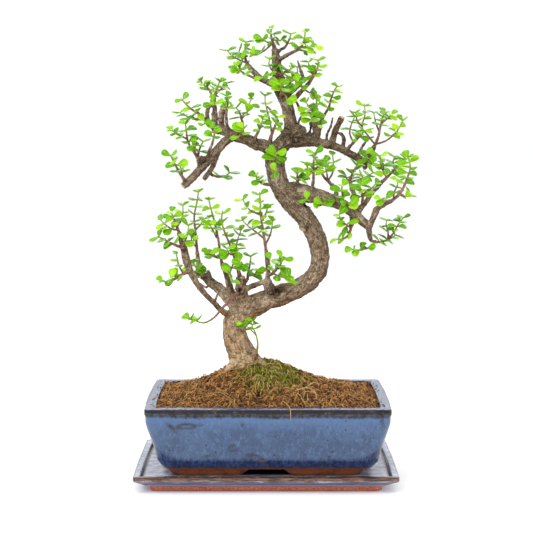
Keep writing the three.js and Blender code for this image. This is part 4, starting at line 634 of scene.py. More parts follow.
def bark_look():
    """Grey-brown bark in small plates with dark cracks, darker and warmer up the tree and on twigs."""
    look = Look("bark", Specular_IOR_Level=0.25, Roughness=0.85)
    grain = look.attribute("grain", "Vector")
    bend = look.node("ShaderNodeTexNoise", {"Vector": look.place, "Scale": 0.3}).outputs["Color"]
    warped = look.vector("ADD", grain, look.vector("MULTIPLY", bend, (4.4, 4.4, 2.2)))
    cracks = look.cells(3.4, warped, "DISTANCE_TO_EDGE")
    streaks = look.noise(4.2, 6, 0.75, 0.5)
    patches = look.noise(12, 4, 0.62, 0.6)
    wide = look.noise(24, 3, 0.6, 0.5)
    specks = look.noise(1.9, 4, 0.75, 0.4, where=grain)
    fine = look.noise(0.7, 4, 0.75)

    # Tan at the foot, browner above, darkest in the crown and on thin twigs
    low = look.ramp(streaks, (0.34, (138, 104, 70)), (0.5, (198, 164, 118)), (0.66, (228, 204, 164)))
    high = look.ramp(streaks, (0.34, (86, 67, 51)), (0.5, (134, 110, 86)), (0.68, (186, 163, 137)))
    height = look.value("MULTIPLY_ADD", patches, 60, look.height)
    shade = look.mix(look.steps(height, 185, 235), low, high)
    shade = look.over(shade, (184, 166, 142), look.steps(patches, 0.52, 0.66), 0.8)
    crown = look.mix(specks, (58, 44, 33), (128, 108, 88))
    shade = look.over(shade, crown, look.steps(height, 200, 380), 0.55)
    shade = look.over(shade, (112, 82, 74), look.attribute("thin"), 0.5)

    # Dark rings across the limb, wide worn and pale places, scars, and the burls
    rings_across = look.spots(4.0, 0.58, 0.67, detail=3, rough=0.6, stretch=(0.3, 0.3, 6), where=grain)
    shade = look.over(shade, (74, 52, 36), rings_across, 0.55)
    shade = look.over(shade, (192, 166, 146), look.steps(wide, 0.5, 0.62), 0.5, blend="MULTIPLY")
    shade = look.over(shade, (208, 192, 170), look.steps(wide, 0.48, 0.36), 0.35)
    scars = look.dots(6.0, 0.17, 0.08, grain)
    shade = look.over(shade, (46, 31, 20), scars, look.steps(wide, 0.42, 0.52), 0.75)
    knobs = look.mix(look.steps(specks, 0.4, 0.62), (30, 21, 13), (104, 80, 52))
    shade = look.over(shade, knobs, look.attribute("burl"), 0.85)

    # Pale and dark specks, cracks and pits, and painted shade on the side turned away from the light
    shade = look.over(shade, (216, 195, 162), look.steps(specks, 0.53, 0.66), 0.5)
    shade = look.over(shade, (76, 55, 37), look.steps(specks, 0.44, 0.33), 0.5)
    shade = look.over(shade, (216, 198, 170), look.steps(fine, 0.52, 0.6), 0.6)
    shade = look.over(shade, (58, 42, 28), look.steps(fine, 0.46, 0.39), 0.6)
    shade = look.over(shade, (40, 28, 19), look.steps(cracks, 0.17, 0.04), look.spots(7, 0.38, 0.54), 0.65)
    shade = look.over(shade, (44, 31, 21), look.dots(1.7, 0.2, 0.1, warped), 0.45)
    # Painted shade: the bark is darker where it faces away from the light
    shade = look.over(shade, (168, 140, 116), look.attribute("under"), 0.9, blend="MULTIPLY")

    rings = look.noise(1.0, 2, where=look.attribute("rings", "Vector"))
    cut_face = look.ramp(rings, (0.35, (146, 110, 74)), (0.65, (216, 184, 142)))
    shade = look.over(shade, cut_face, look.attribute("cut"))
    # The carved hollows: decayed wood, darkened to near black as painted shade of the recess
    decay_and_painted_shade = look.ramp(specks, (0.42, (7, 4, 3)), (0.54, (26, 16, 9)), (0.66, (92, 66, 38)))
    look.set(Base_Color=look.over(shade, decay_and_painted_shade, look.attribute("hollow")))
    look.bump(cracks, 1.2, 0.7)
    look.bump(specks, 0.9, 0.9)
    look.bump(fine, 0.5, 0.9)
    return look.material


def leaf_look():
    """Glossy fleshy leaves with a pale midrib, and shoots, woody brown at the foot and green at the tip."""
    look = Look("jade_leaf", Roughness=0.3, Specular_IOR_Level=0.15, Subsurface_Weight=0.2,
                Subsurface_Scale=0.002, Subsurface_Radius=(0.7, 1.0, 0.05))
    mottle = look.noise(2.4)
    speckle = look.noise(1.6, 4, 0.7)
    across = look.value("ABSOLUTE", look.attribute("across"))
    green = look.ramp(look.attribute("tone"), (0.0, (66, 130, 0)), (0.4, (92, 156, 0)), (0.8, (122, 180, 2)),
                      (1.0, (152, 200, 20)))
    green = look.over(green, (160, 196, 34), look.steps(mottle, 0.5, 0.8), 0.5)
    green = look.over(green, (186, 216, 90), look.steps(across, 0.12, 0.02), 0.5)
    green = look.over(green, (186, 214, 80), look.steps(across, 0.86, 1.0), 0.35)
    wood = look.ramp(speckle, (0.35, (78, 50, 43)), (0.55, (128, 90, 77)), (0.75, (182, 150, 128)))
    stem = look.over(wood, (128, 150, 30), look.steps(look.attribute("along"), 0.5, 0.86))
    look.set(Base_Color=look.over(stem, green, look.attribute("blade")))
    look.bump(mottle, 0.15, 0.6)
    look.bump(speckle, 0.15, 0.5)
    return look.material


def clouded_glaze(look, light, middle, dark):
    """Blue glaze that clouds from place to place, with broad soft runs and a dust of pale and dark grains."""
    grains = look.noise(1.3, 3, 0.75)
    shade = look.over(middle, dark, look.spots(26, 0.62, 0.4, detail=5, rough=0.62, warp=1.0), 0.6)
    shade = look.over(shade, light, look.spots(4, 0.48, 0.66, detail=5, rough=0.7, stretch=(1, 1, 0.5)), 0.6)
    shade = look.over(shade, light, look.steps(grains, 0.54, 0.66), 0.45)
    return look.over(shade, dark, look.steps(grains, 0.46, 0.34), 0.5)


def pot_look():
    """Glossy blue glaze: black at the rim, bright below it, navy at the foot, and bare clay under that."""
    look = Look("pot_glaze", Coat_Weight=0.12, Coat_Roughness=0.1, Specular_IOR_Level=0.3)
    wave = look.noise(30, 4, stretch=(1, 1, 0.2))
    threads = look.noise(3.4, 4, 0.7, stretch=(1, 1, 0.3))
    ragged = look.value("MULTIPLY_ADD", threads, 5.0, look.value("MULTIPLY_ADD", wave, 5.0, look.height))

    shade = clouded_glaze(look, (84, 106, 140), (66, 86, 117), (50, 63, 90))
    bright = look.mix(threads, (54, 82, 124), (82, 108, 146))
    shade = look.over(shade, bright, look.steps(ragged, 66, 82), 0.7)
    navy_level = look.value("MULTIPLY_ADD", look.attribute("corner"), -13.0, ragged)
    navy = look.mix(look.steps(threads, 0.42, 0.62), (30, 41, 73), (52, 66, 104))
    shade = look.over(shade, navy, look.steps(navy_level, 41.5, 35.5))

    # The black line under the rim, with drips, and the worn blue top
    drip = look.mix(look.spots(5, 0.35, 0.65, detail=4, rough=0.65), (10, 9, 12), (58, 62, 76))
    shade = look.over(shade, drip, look.steps(ragged, 81.6, 84.6))
    black = look.mix(look.spots(9, 0.5, 0.64, detail=4), (6, 4, 4), (48, 34, 27))
    black_level = look.value("MULTIPLY_ADD", wave, 3.5, look.height)
    shade = look.over(shade, black, look.steps(black_level, 83.6, 84.6))
    cloud = look.spots(4, 0.4, 0.65, detail=4)
    rim = look.mix(look.attribute("side"), look.mix(cloud, (46, 66, 112), (96, 116, 152)),
                   look.mix(cloud, (58, 74, 104), (112, 125, 146)))
    rim = look.over(rim, (74, 50, 44), look.spots(3, 0.6, 0.66), look.spots(22, 0.5, 0.56))
    shade = look.over(shade, rim, look.steps(look.height, 86.1, 86.6))

    shade = look.over(shade, (54, 32, 26), look.dots(5.5, 0.2, 0.12), look.spots(13, 0.52, 0.58))
    shade = look.over(shade, (130, 150, 184), look.dots(3.4, 0.16, 0.06), look.spots(9, 0.52, 0.6), 0.5)
    shade = look.over(shade, (44, 40, 42), look.attribute("blister"))
    shade = look.over(shade, (64, 44, 38), look.attribute("edge"))

    # Bare clay, and a brown fringe where the glaze ends
    glaze_end = look.value("MULTIPLY_ADD", look.noise(9, 4, 0.6), 2.4, look.height)
    glazed = look.steps(glaze_end, 24.0, 24.4)
    clay_grain = look.noise(1.0, 4, 0.75)
    clay = look.ramp(clay_grain, (0.32, (84, 44, 18)), (0.55, (148, 80, 36)), (0.8, (196, 116, 62)))
    clay = look.over(clay, (62, 38, 20), look.spots(11, 0.5, 0.62, detail=4), 0.5)
    shade = look.mix(glazed, clay, shade)
    fringe = look.steps(glaze_end, 23.2, 23.7), look.steps(glaze_end, 24.9, 24.2)
    shade = look.over(shade, (126, 56, 46), *fringe, 0.8)
    look.set(Base_Color=shade, Roughness=look.value("MULTIPLY_ADD", glazed, -0.55, 0.82))
    look.bump(look.noise(7), 1.0, 0.5)
    look.bump(threads, 0.25, 0.4)
    look.bump(clay_grain, 0.25, 0.3)
    return look.material


def saucer_look():
    """The same glaze, streaked brown along the lip, grey-blue in the dish, and bare red clay at the foot."""
    look = Look("saucer_glaze", Coat_Weight=0.12, Coat_Roughness=0.12, Specular_IOR_Level=0.3)
    dish = look.mix(look.spots(12, 0.38, 0.66, detail=5), (118, 126, 150), (176, 181, 197))
    dish = look.over(dish, (96, 84, 92), look.spots(1.5, 0.44, 0.34, detail=4))
    cloud = look.noise(4, 5, 0.7)
    front_lip = look.ramp(cloud, (0.42, (24, 17, 17)), (0.54, (48, 42, 46)), (0.68, (124, 128, 144)))
    side_lip = look.ramp(cloud, (0.34, (104, 110, 128)), (0.5, (146, 156, 178)), (0.64, (204, 210, 222)))
    lip = look.mix(look.attribute("side"), front_lip, side_lip)
    shade = look.over(dish, lip, look.attribute("lip"))

    # The outer wall from the lip down: rust, blue, grey and a pale blue line
    level = look.value("MULTIPLY_ADD", look.noise(9, 4, stretch=(1, 1, 0.4)), 1.6, look.height)
    streaks = look.noise(2.6, 5, 0.7, stretch=(0.16, 0.16, 1.5))
    rust = look.mix(look.steps(streaks, 0.38, 0.62), (52, 29, 20), (124, 86, 66))
    blue = look.ramp(streaks, (0.36, (54, 46, 50)), (0.5, (92, 94, 112)), (0.66, (150, 156, 176)))
    grey = look.mix(look.steps(streaks, 0.36, 0.64), (50, 38, 33), (92, 80, 74))
    wall = look.mix(look.steps(level, 14.9, 15.7), blue, rust)
    wall = look.over(wall, grey, look.steps(level, 12.6, 11.8))
    wall = look.over(wall, look.mix(streaks, (84, 98, 146), (134, 150, 198)), look.steps(level, 10.0, 9.0))
    shade = look.over(shade, wall, look.attribute("outside"))
    # Dark brown lines: glaze breaks at the lip, and painted shade as well in the dish's crease
    shade = look.over(shade, (40, 24, 20), look.attribute("edge"))
    shade = look.over(shade, (58, 32, 26), look.dots(4.5, 0.24, 0.14), look.spots(12, 0.5, 0.58))
    dim = look.attribute("shaded")
    shade = look.over(shade, (5, 4, 3), dim)

    glazed = look.steps(look.value("MULTIPLY_ADD", look.noise(9), 1.0, look.height), 5.3, 5.6)
    clay_grain = look.noise(1.2, 4, 0.7)
    clay = look.ramp(clay_grain, (0.34, (128, 60, 32)), (0.52, (196, 104, 62)), (0.7, (232, 148, 104)))
    rough = look.value("MULTIPLY_ADD", dim, 0.6, look.value("MULTIPLY_ADD", glazed, -0.55, 0.8))
    look.set(Base_Color=look.mix(glazed, clay, shade), Roughness=rough)
    look.bump(look.noise(9, 2), 0.5, 0.25)
    look.bump(clay_grain, 0.15, 0.2)
    return look.material


def soil_look():
    look = Look("soil", Specular_IOR_Level=0.15, Roughness=0.95)
    coarse = look.noise(4, 6, 0.75)
    fine = look.noise(0.9, 4, 0.75)
    shade = look.ramp(coarse, (0.4, (26, 14, 6)), (0.5, (86, 54, 24)), (0.6, (150, 100, 50)))
    shade = look.over(shade, (186, 134, 74), look.steps(fine, 0.52, 0.64))
    shade = look.over(shade, (16, 9, 4), look.steps(fine, 0.47, 0.37))
    shade = look.over(shade, (66, 64, 16), look.attribute("moss"), 0.4)
    # The low places of the soil painted darker, as shade
    look.set(Base_Color=look.over(shade, (20, 10, 5), look.attribute("low"), 0.8))
    look.bump(coarse, 1.8, 1.0)
    look.bump(fine, 0.7, 1.0)
    return look.material


def strand_look(name, dark, light, roughness):
    """Fibres, straw, moss or crumbs: each strand has its own tone."""
    look = Look(name, Specular_IOR_Level=0.2, Roughness=roughness)
    grain = look.noise(1.5)
    shade = look.mix(look.attribute("tone"), dark, light)
    look.set(Base_Color=look.over(shade, dark, look.steps(grain, 0.4, 0.75), 0.35))
    look.bump(grain, 0.15, 0.6)
    return look.material


def screen_look():
    look = Look("screen_plastic")
    grain = look.noise(1.1, 4)
    look.set(Base_Color=look.mix(look.steps(grain, 0.4, 0.8), (34, 37, 36), (56, 60, 58)),
             Roughness=look.value("MULTIPLY_ADD", grain, 0.2, 0.5))
    look.bump(grain, 0.1, 0.5)
    return look.material


# Clearance boxes, the same as the part's, so the leaves that both hold have one place


class Boxes:
    """Oriented boxes of wood, stems and leaves, held in arrays so that far ones are passed over fast."""

    most = 8000

    def __init__(self):
        self.owner = []
        self.leaf = []
        self.centre = np.zeros((self.most, 3))
        self.axes = np.zeros((self.most, 3, 3))
        self.half = np.zeros((self.most, 3))
        self.reach = np.zeros(self.most)

    def add(self, owner, leaf, centre, axes, half, reach):
        i = len(self.owner)
        self.owner.append(owner)
        self.leaf.append(leaf)
        self.centre[i], self.axes[i], self.half[i], self.reach[i] = centre, axes, half, reach

    def add_run(self, owner, start, end, radius):
        length = np.linalg.norm(end - start)
        along = (end - start) / length
        other = np.array([0, 0, 1.0]) if abs(along[2]) < 0.8 else np.array([1.0, 0, 0])
        side = unit(np.cross(along, other))
        self.add(owner, False, (start + end) / 2, [along, side, np.cross(along, side)],
                 [length / 2, radius, radius], math.hypot(length / 2, radius * math.sqrt(2)))

    def touched(self, owner, box, margin):
        """Whether a box comes within the margin of any but its owner's own wood."""
        centre, _, _, reach = box
        n = len(self.owner)
        apart = np.linalg.norm(self.centre[:n] - centre, axis=1)
        close = np.nonzero(apart <= self.reach[:n] + reach + margin)[0]
        return any(self.touch_one(i, box, margin) for i in close if self.leaf[i] or self.owner[i] != owner)

    def touch_one(self, i, box, margin):
        centre, axes, half, _ = box
        crossed = np.cross(axes[:, None, :], self.axes[i][None, :, :]).reshape(9, 3)
        size = np.linalg.norm(crossed, axis=1)
        crossed = crossed[size > 0.01] / size[size > 0.01][:, None]
        directions = np.vstack([axes, self.axes[i], crossed])
        own_room = margin + np.abs(directions @ axes.T) @ half
        room = own_room + np.abs(directions @ self.axes[i].T) @ self.half[i]
        return bool(np.all(np.abs(directions @ (self.centre[i] - centre)) < room))


def soil_height(x, y):
    from_middle = ((x - POT["off_centre"]) / SOIL_ROOM["top_x"]) ** 4 + (y / SOIL_ROOM["top_y"]) ** 4
    across_pot = 1 - np.minimum(1, from_middle)
    mound = np.exp(-(((x - SOIL["peak_x"]) / SOIL["spread_x"]) ** 2)
                   - ((y - SOIL["peak_y"]) / SOIL["spread_y"]) ** 2)
    broad_lumps = np.sin(x * 0.21 + 1.3) * np.cos(y * 0.19 + 0.4)
    small_lumps = np.sin(x * 0.47 + y * 0.39)
    lumps = SOIL["lump"] * (broad_lumps + 0.6 * small_lumps)
    return SOIL["edge"] + (SOIL["rise"] + lumps + SOIL["peak"] * mound) * across_pot


def along_path(path, part):
    """The place and direction at a part of the way along a path of straight runs."""
    places = [place for place, _ in path]
    lengths = [np.linalg.norm(b - a) for a, b in zip(places, places[1:])]
    left = part * sum(lengths)
    run = 0
    while run < len(lengths) - 1 and left > lengths[run]:
        left -= lengths[run]
        run += 1
    direction = unit(places[run + 1] - places[run])
    return places[run] + direction * left, direction


def leaf_plan(spray_index, shoot_index, path, rule):
    """Leaves of a shoot in opposite pairs, each pair a quarter turn round from the one before.

    They spread round a line between the shoot's own direction and straight up, and when they are
    placed their faces lean a little to the front, where the light came from.
    """
    pairs, length, start = rule
    last = LEAF["last_place"]
    plan = []
    for number in range(2 * pairs):
        pair, half = divmod(number, 2)
        tip = pair == pairs - 1
        part = last if pairs == 1 else start + (last - start) * pair / (pairs - 1)
        place, direction = along_path(path, part)
        draw = seeded_random(spray_index * 5003 + shoot_index * 389 + number * 17 + 11)
        turn = (pair * 0.5 + half) * math.pi + shoot_index * SHOOT_TURN + spray_index * SPRAY_TURN
        turn += (draw() - 0.5) * LEAF["turn_range"]
        spread = LEAF["tip_spread" if tip else "spread"] + (draw() - 0.5) * LEAF["spread_range"]
        roll = (draw() - 0.5) * LEAF["roll_range"]
        size = length * (LEAF["shortest"] + LEAF["length_range"] * draw())
        size *= LEAF["tip_size"] if tip else 1
        plan.append(dict(place=place, direction=unit(direction + np.array([0, 0, LEAF["lift"]])), turn=turn,
                         spread=spread, roll=roll, length=size, tone=draw(), bend=draw(),
                         kept=tip or number % LEAF["keep_one_in"] == 1))
    return plan


def place_leaf(leaf, owner, boxes):
    """The leaf as turned, or made smaller, until it clears all else, or None if it never does."""
    direction = leaf["direction"]
    start = np.array([0, 1.0, 0]) if abs(direction[2]) > 0.9 else np.array([0, 0, 1.0])
    across = unit(np.cross(direction, start))
    over = np.cross(direction, across)
    for shrink in (1, 0.82):
        for swing, lift in POSES:
            turn, spread = leaf["turn"] + swing, leaf["spread"] + lift
            outward = across * math.cos(turn) + over * math.sin(turn)
            along = outward * math.sin(spread) + direction * math.cos(spread)
            face = direction * math.sin(spread) - outward * math.cos(spread)
            facing_front = -np.cross(along, face)[1]
            roll = Matrix.Rotation(leaf["roll"] + LEAF["to_front"] * facing_front, 3, Vector(along))
            face = np.array(roll @ Vector(face))
            length = leaf["length"] * shrink
            half_length = (length - LEAF["bare"]) / 2
            half_width = length * LEAF["width_ratio"] / 2
            half_thick = LEAF["thickness"] / 2
            centre = leaf["place"] + along * (LEAF["bare"] + half_length)
            if centre[2] - length * 0.6 < soil_height(centre[0], centre[1]) + 1:
                continue
            axes = np.array([along, face, np.cross(along, face)])
            half = np.array([half_length, half_thick * 0.8, half_width * 0.92])
            box = centre, axes, half, math.sqrt(half_length**2 + half_width**2 + half_thick**2)
            if not boxes.touched(owner, box, GAP / 2):
                boxes.add(owner, True, *box)
                return dict(leaf, along=along, face=face, length=length)
    return None


# Wood, grown in the same order as the part's, with the full curves kept for the finer piece

wood_paths = []
wood_curves = []
boxes = Boxes()


def grow_limb(rows, name=""):
    full = seen_path(rows)
    points = straightened(full, BARK_SLACK)
    if wood_paths:
        points[0] = (nearest_on_paths(points[0][0], wood_paths), points[0][1])
    full[0] = points[0]
    wood_paths.append(points)
    wood_curves.append((name, full))
    for (start, start_radius), (end, end_radius) in zip(points, points[1:]):
        boxes.add_run("trunk", start, end, max(start_radius, end_radius))
    return points


def grow_spray(name, twig_rows, shoot_rows):
    twig = grow_limb(twig_rows)
    twig_end, twig_end_radius = twig[-1]
    outward = unit(twig_end - twig[-2][0])
    shoots = []
    for pairs, leaf_length, start, rows in shoot_rows:
        path = [place for place, _ in seen_path(rows)]
        if not shoots:
            path.insert(0, twig_end + outward * GAP)
            base = min(STEM["base"] + 0.2, twig_end_radius)
        else:
            path[0] = nearest_on_paths(path[0], [shoot["path"] for shoot in shoots])
            base = STEM["base"]
        full = [(place, base + (STEM["tip"] - base) * i / (len(path) - 1)) for i, place in enumerate(path)]
        path = straightened(full, STEM["slack"])
        shoots.append(dict(path=path, curve=full, rule=(pairs, leaf_length, start)))
    for shoot in shoots:
        for (start, _), (end, _) in zip(shoot["path"], shoot["path"][1:]):
            boxes.add_run(name, start, end, 0.8 * STEM["base"])
    return dict(name=name, shoots=shoots, leaves=[])


def grow_leaves(of_part):
    """The leaves that the part holds, or else the rest of each shoot's pairs."""
    for spray_index, spray in enumerate(sprays):
        for shoot_index, shoot in enumerate(spray["shoots"]):
            in_part = shoot_index == 0 or shoot["rule"][0] >= STEM["fewest_pairs"]
            for leaf in leaf_plan(spray_index, shoot_index, shoot["path"], shoot["rule"]):
                if (in_part and leaf["kept"]) == of_part:
                    placed = place_leaf(leaf, spray["name"], boxes)
                    if placed:
                        spray["leaves"].append(placed)


for limb_name, limb_rows in LIMBS:
    grow_limb(limb_rows, limb_name)
for dry_rows in DRY_TWIGS:
    grow_limb(dry_rows)
sprays = [grow_spray(*spray_row) for spray_row in SPRAYS]
grow_leaves(of_part=True)
grow_leaves(of_part=False)

# The blade's net, and its form: fullest near the blunt tip, domed, with a groove along the middle
BLADE = dict(rows=9, columns=6, fullness=1.62, shoulder=0.92, tip=3.6, blunt=0.6, narrowest=0.045, reach=0.99,
             cup=0.1, groove=0.16, bend=0.42, middle_bend=0.68)


def leaf_mesh(leaf):
    """A plump obovate blade that droops or lifts a little, and its places along and across."""
    parts = np.linspace(0.0, 1.0, BLADE["rows"] + 1)
    columns = -1 + 2 * np.arange(BLADE["columns"] + 1) / BLADE["columns"]
    layer, part, across = (grid.ravel() for grid in np.meshgrid([1, -1], parts, columns, indexing="ij"))
    blunt = np.maximum(1 - part ** BLADE["tip"], 0) ** BLADE["blunt"]
    width = 0.5 * LEAF["width_ratio"] * BLADE["fullness"] * part ** BLADE["shoulder"] * blunt
    width = np.maximum(width, BLADE["narrowest"])
    plump = 0.35 + 0.65 * np.sin(math.pi * np.minimum(part * 0.9 + 0.08, 1))
    rim = np.sqrt(np.maximum(0, 1 - across * across))
    thick = LEAF["thickness"] / 2 * plump * rim ** 0.7 * (part < 0.999)
    groove = BLADE["groove"] * np.exp(-(across / 0.16) ** 2) * np.sin(math.pi * part) * (layer > 0)
    bend = (leaf["bend"] - BLADE["middle_bend"]) * BLADE["bend"]
    lift = leaf["length"] * (bend * part * part + BLADE["cup"] * across * across * width)
    side = np.cross(leaf["along"], leaf["face"])
    points = (leaf["place"] + np.outer(part * leaf["length"] * BLADE["reach"], leaf["along"])
              + np.outer(across * width * leaf["length"], side)
              + np.outer(layer * thick + lift - groove, leaf["face"]))
    stride, layer_size = len(columns), len(points) // 2
    faces = []
    for row in range(BLADE["rows"]):
        for a in range(row * stride, row * stride + BLADE["columns"]):
            top = (a, a + 1, a + stride + 1, a + stride)
            faces += [top, tuple(corner + layer_size for corner in reversed(top))]
    return points, faces, part, across


# How far along its first shoot a spray already looks at its foot: older shoots are woody there
STARTS_AT = dict(basal_spray=0.62)
SHOOT = dict(spacing=1.2, sides=8, swell=0.16, first_taper=(1.0, 0.62), other_taper=(0.74, 0.5))


def spray_piece(spray, look):
    soup = Soup()
    youth = STARTS_AT.get(spray["name"], 0.0)
    for number, shoot in enumerate(spray["shoots"]):
        curve = smooth_path(shoot["curve"], SHOOT["spacing"])
        taper = np.linspace(*SHOOT["other_taper" if number else "first_taper"], len(curve))
        nodes = 1 + SHOOT["swell"] * np.clip(np.cos(np.arange(len(curve)) * 1.05), 0, 1)
        curve[:, 3] *= taper * (1 - 0.35 * youth) * nodes
        points, faces = tube_mesh(curve, SHOOT["sides"])
        age = np.repeat(np.linspace(youth, 1, len(curve)), SHOOT["sides"])
        along = np.concatenate([[youth], age, [1.0]])
        soup.add(points, faces, along=along, across=1, blade=0, tone=0.5)
    for leaf in spray["leaves"]:
        points, faces, along, across = leaf_mesh(leaf)
        soup.add(points, faces, along=along, across=across, blade=1, tone=leaf["tone"])
    soup.piece(spray["name"] + "_leaves", look, "leaf", spray["name"])


leaf_material = leaf_look()
for spray in sprays:
    spray_piece(spray, leaf_material)


# Bark: thick limbs are fused by a fine remesh, then carved; thin twigs are swept by themselves
FUSE = dict(voxel=0.95, thick=1.9, spacing=1.5, smooth=3)

# Limbs that were sawn off, with a flat pale face at the end
CUT_LIMBS = {"left_low", "left_low_cut", "left_high_cut", "right_high_cut", "right_high_fork", "low_stump",
             "low_bough_stub", "cut_knot"}

# Dark hollows, decayed wood darkened further as painted shade of the recess, then rough dark swellings:
# across and up as seen, radius, and depth or height
HOLLOWS = [(15.5, 198.5, 6.6, 4.2), (43, 289, 2.8, 2.0), (45, 369, 4.4, 2.6), (-29, 199, 2.6, 1.4)]
BURLS = [(30, 364, 13.0, 1.6), (20, 352, 12.0, 0.9), (8, 198, 9.0, 0.9), (-66, 336, 8.0, 1.3),
         (13, 404, 9.0, 0.8)]

# Depth counts for less than width and height when a place on the bark is marked
AS_SEEN = np.array([1, 0.5, 1])

# How near to a place the eye looks for it on the bark, and where the light of the photo comes from
SIGHT = 1.5
SUNNY = unit(np.array([-0.4, -0.45, 0.8]))

# The grain of each limb starts this much further on, so that no two are alike
LIMB_SHIFT = 37.0

# Thin twigs: their net, and how much they swell at the old leaf scars
TWIG = dict(spacing=1.2, sides=9, swell=0.16, scar_every=6.0)


def is_thick(curve_points):
    return max(radius for _, radius in curve_points) >= FUSE["thick"]


def read_mesh(count, items, field, kind):
    values = np.zeros(len(items) * count, kind)
    items.foreach_get(field, values)
    return values.reshape(-1, count)


def fused_wood():
    """Points, edges and faces of the thick limbs as one skin."""
    soup = Soup()
    for name, curve_points in wood_curves:
        if is_thick(curve_points):
            end_round = 0.1 if name in CUT_LIMBS else 0.7
            soup.add(*tube_mesh(smooth_path(curve_points, FUSE["spacing"]), 20, end_round))
    rough = linked("wood_rough", new_mesh("wood_rough", np.vstack(soup.points), soup.faces))
    fuse = rough.modifiers.new("fuse", "REMESH")
    fuse.mode = "VOXEL"
    fuse.voxel_size = FUSE["voxel"] * MM
    bpy.context.view_layer.update()
    fused = bpy.data.meshes.new_from_object(rough.evaluated_get(bpy.context.evaluated_depsgraph_get()))
    bpy.data.objects.remove(rough)
    points = read_mesh(3, fused.vertices, "co", float) / MM
    edges = read_mesh(2, fused.edges, "vertices", int)
    return points, edges, [tuple(polygon.vertices) for polygon in fused.polygons]


def smoothed(points, edges, rounds):
    count = np.bincount(edges.ravel(), minlength=len(points))[:, None]
    for _ in range(rounds):
        total = np.zeros_like(points)
        np.add.at(total, edges[:, 0], points[edges[:, 1]])
        np.add.at(total, edges[:, 1], points[edges[:, 0]])
        points = points + 0.5 * (total / np.maximum(count, 1) - points)
    return points


def normals_of(points, faces):
    quads = np.array([face if len(face) == 4 else (*face, face[-1]) for face in faces])
    facing = np.cross(points[quads[:, 2]] - points[quads[:, 0]], points[quads[:, 3]] - points[quads[:, 1]])
    total = np.zeros_like(points)
    for column in range(4):
        np.add.at(total, quads[:, column], facing)
    return total / np.maximum(np.linalg.norm(total, axis=1), 1e-9)[:, None]


class LimbCoordinates:
    """For places on the bark: how far along its limb each is, the way round it, and the limb's radius."""

    def __init__(self):
        self.rows = []
        for index, (_, curve_points) in enumerate(wood_curves):
            curve = smooth_path(curve_points, FUSE["spacing"])
            runs = np.linalg.norm(np.diff(curve[:, :3], axis=0), axis=1)
            starts = np.concatenate([[0], np.cumsum(runs)]) + LIMB_SHIFT * index
            self.rows.extend(zip(curve, path_frames(curve[:, :3]), starts))
        self.tree = kdtree.KDTree(len(self.rows))
        for i, (row, _, _) in enumerate(self.rows):
            self.tree.insert(row[:3], i)
        self.tree.balance()

    def at(self, place):
        nearest = min(self.tree.find_n(place, 10), key=lambda found: found[2] - self.rows[found[1]][0][3])
        centre, (tangent, normal, side), far = self.rows[nearest[1]]
        arm = np.array(place) - centre[:3]
        return np.dot(arm, normal), np.dot(arm, side), far + np.dot(arm, tangent), centre[3]

    def of(self, points):
        """The two ways across the limb and the way along it as three columns, and the radius."""
        found = np.array([self.at(place) for place in points.tolist()])
        return found[:, :3], found[:, 3]


def bark_relief(grain, radius, points):
    """How far the bark stands out, in millimetres: lumps, long ridges, and rings of old leaf scars."""
    broad = shaped_noise(points, 15.0) * np.clip(radius * 0.09, 0, 1.0)
    middle = shaped_noise(points, 5.0, 2) * np.clip(radius * 0.09, 0, 0.75)
    small = shaped_noise(points, 2.3, 6) * np.clip(radius * 0.07, 0.1, 0.5)
    ridges = shaped_noise(grain * np.array([1, 1, 0.2]), 1.9, 3) * np.clip(radius * 0.06, 0, 0.5)
    wobble = shaped_noise(points, 7.0, 4)
    rings = np.cos((grain[:, 2] + wobble * 3.0) * (2 * math.pi / 7.5))
    rings = np.clip(rings - 0.45, 0, 1) * np.clip(1.2 - radius * 0.04, 0.3, 1.1)
    return broad + middle + small + ridges + rings * (0.5 + 0.5 * shaped_noise(points, 11.0, 5))


def seen_on_front(points, across, up):
    """The foremost of the points that the eye sees near a place."""
    away = (points[:, 1] - EYE[1]) / -EYE[1]
    seen_x = EYE[0] + (points[:, 0] - EYE[0]) / away
    seen_z = EYE[2] + (points[:, 2] - EYE[2]) / away
    aside = np.hypot(seen_x - across, seen_z - up) > SIGHT
    return points[np.argmin(points[:, 1] + 1000 * aside)]


def near(points, middle, radius):
    """1 at the middle, falling to 0 at a ragged edge about radius away, and the distance from it."""
    apart = np.linalg.norm((points - middle) * AS_SEEN, axis=1) * (1 + 0.4 * shaped_noise(points, 4.0, 21))
    inside = np.clip(1 - apart / (radius * 1.5), 0, 1)
    return inside * inside * (3 - 2 * inside), apart


def carve(points, normals):
    """Sinks the hollows, raises the burls, and says how much of each there is at every point."""
    hollow, burl = np.zeros(len(points)), np.zeros(len(points))
    moved = points.copy()
    lumps = 0.2 + 1.2 * shaped_noise(points, 3.6, 31) + 1.4 * shaped_noise(points, 1.9, 32)
    for across, up, radius, height in BURLS:
        inside, _ = near(points, seen_on_front(points, across, up), radius)
        moved += normals * (inside * height * lumps)[:, None]
        burl = np.maximum(burl, inside)
    for across, up, radius, depth in HOLLOWS:
        inside, apart = near(points, seen_on_front(points, across, up), radius)
        moved += normals * (0.9 * band(apart, radius * 1.6, radius * 0.35) - inside * depth)[:, None]
        hollow = np.maximum(hollow, np.clip(inside * 1.9 - 0.1, 0, 1))
    return moved, hollow, np.clip(burl * 1.5, 0, 1)


def underside(points, faces):
    """0 where the bark faces the light from above on the left, rising to 1 where it faces away."""
    return np.clip(0.62 - 0.8 * (normals_of(points, faces) @ SUNNY), 0, 1)


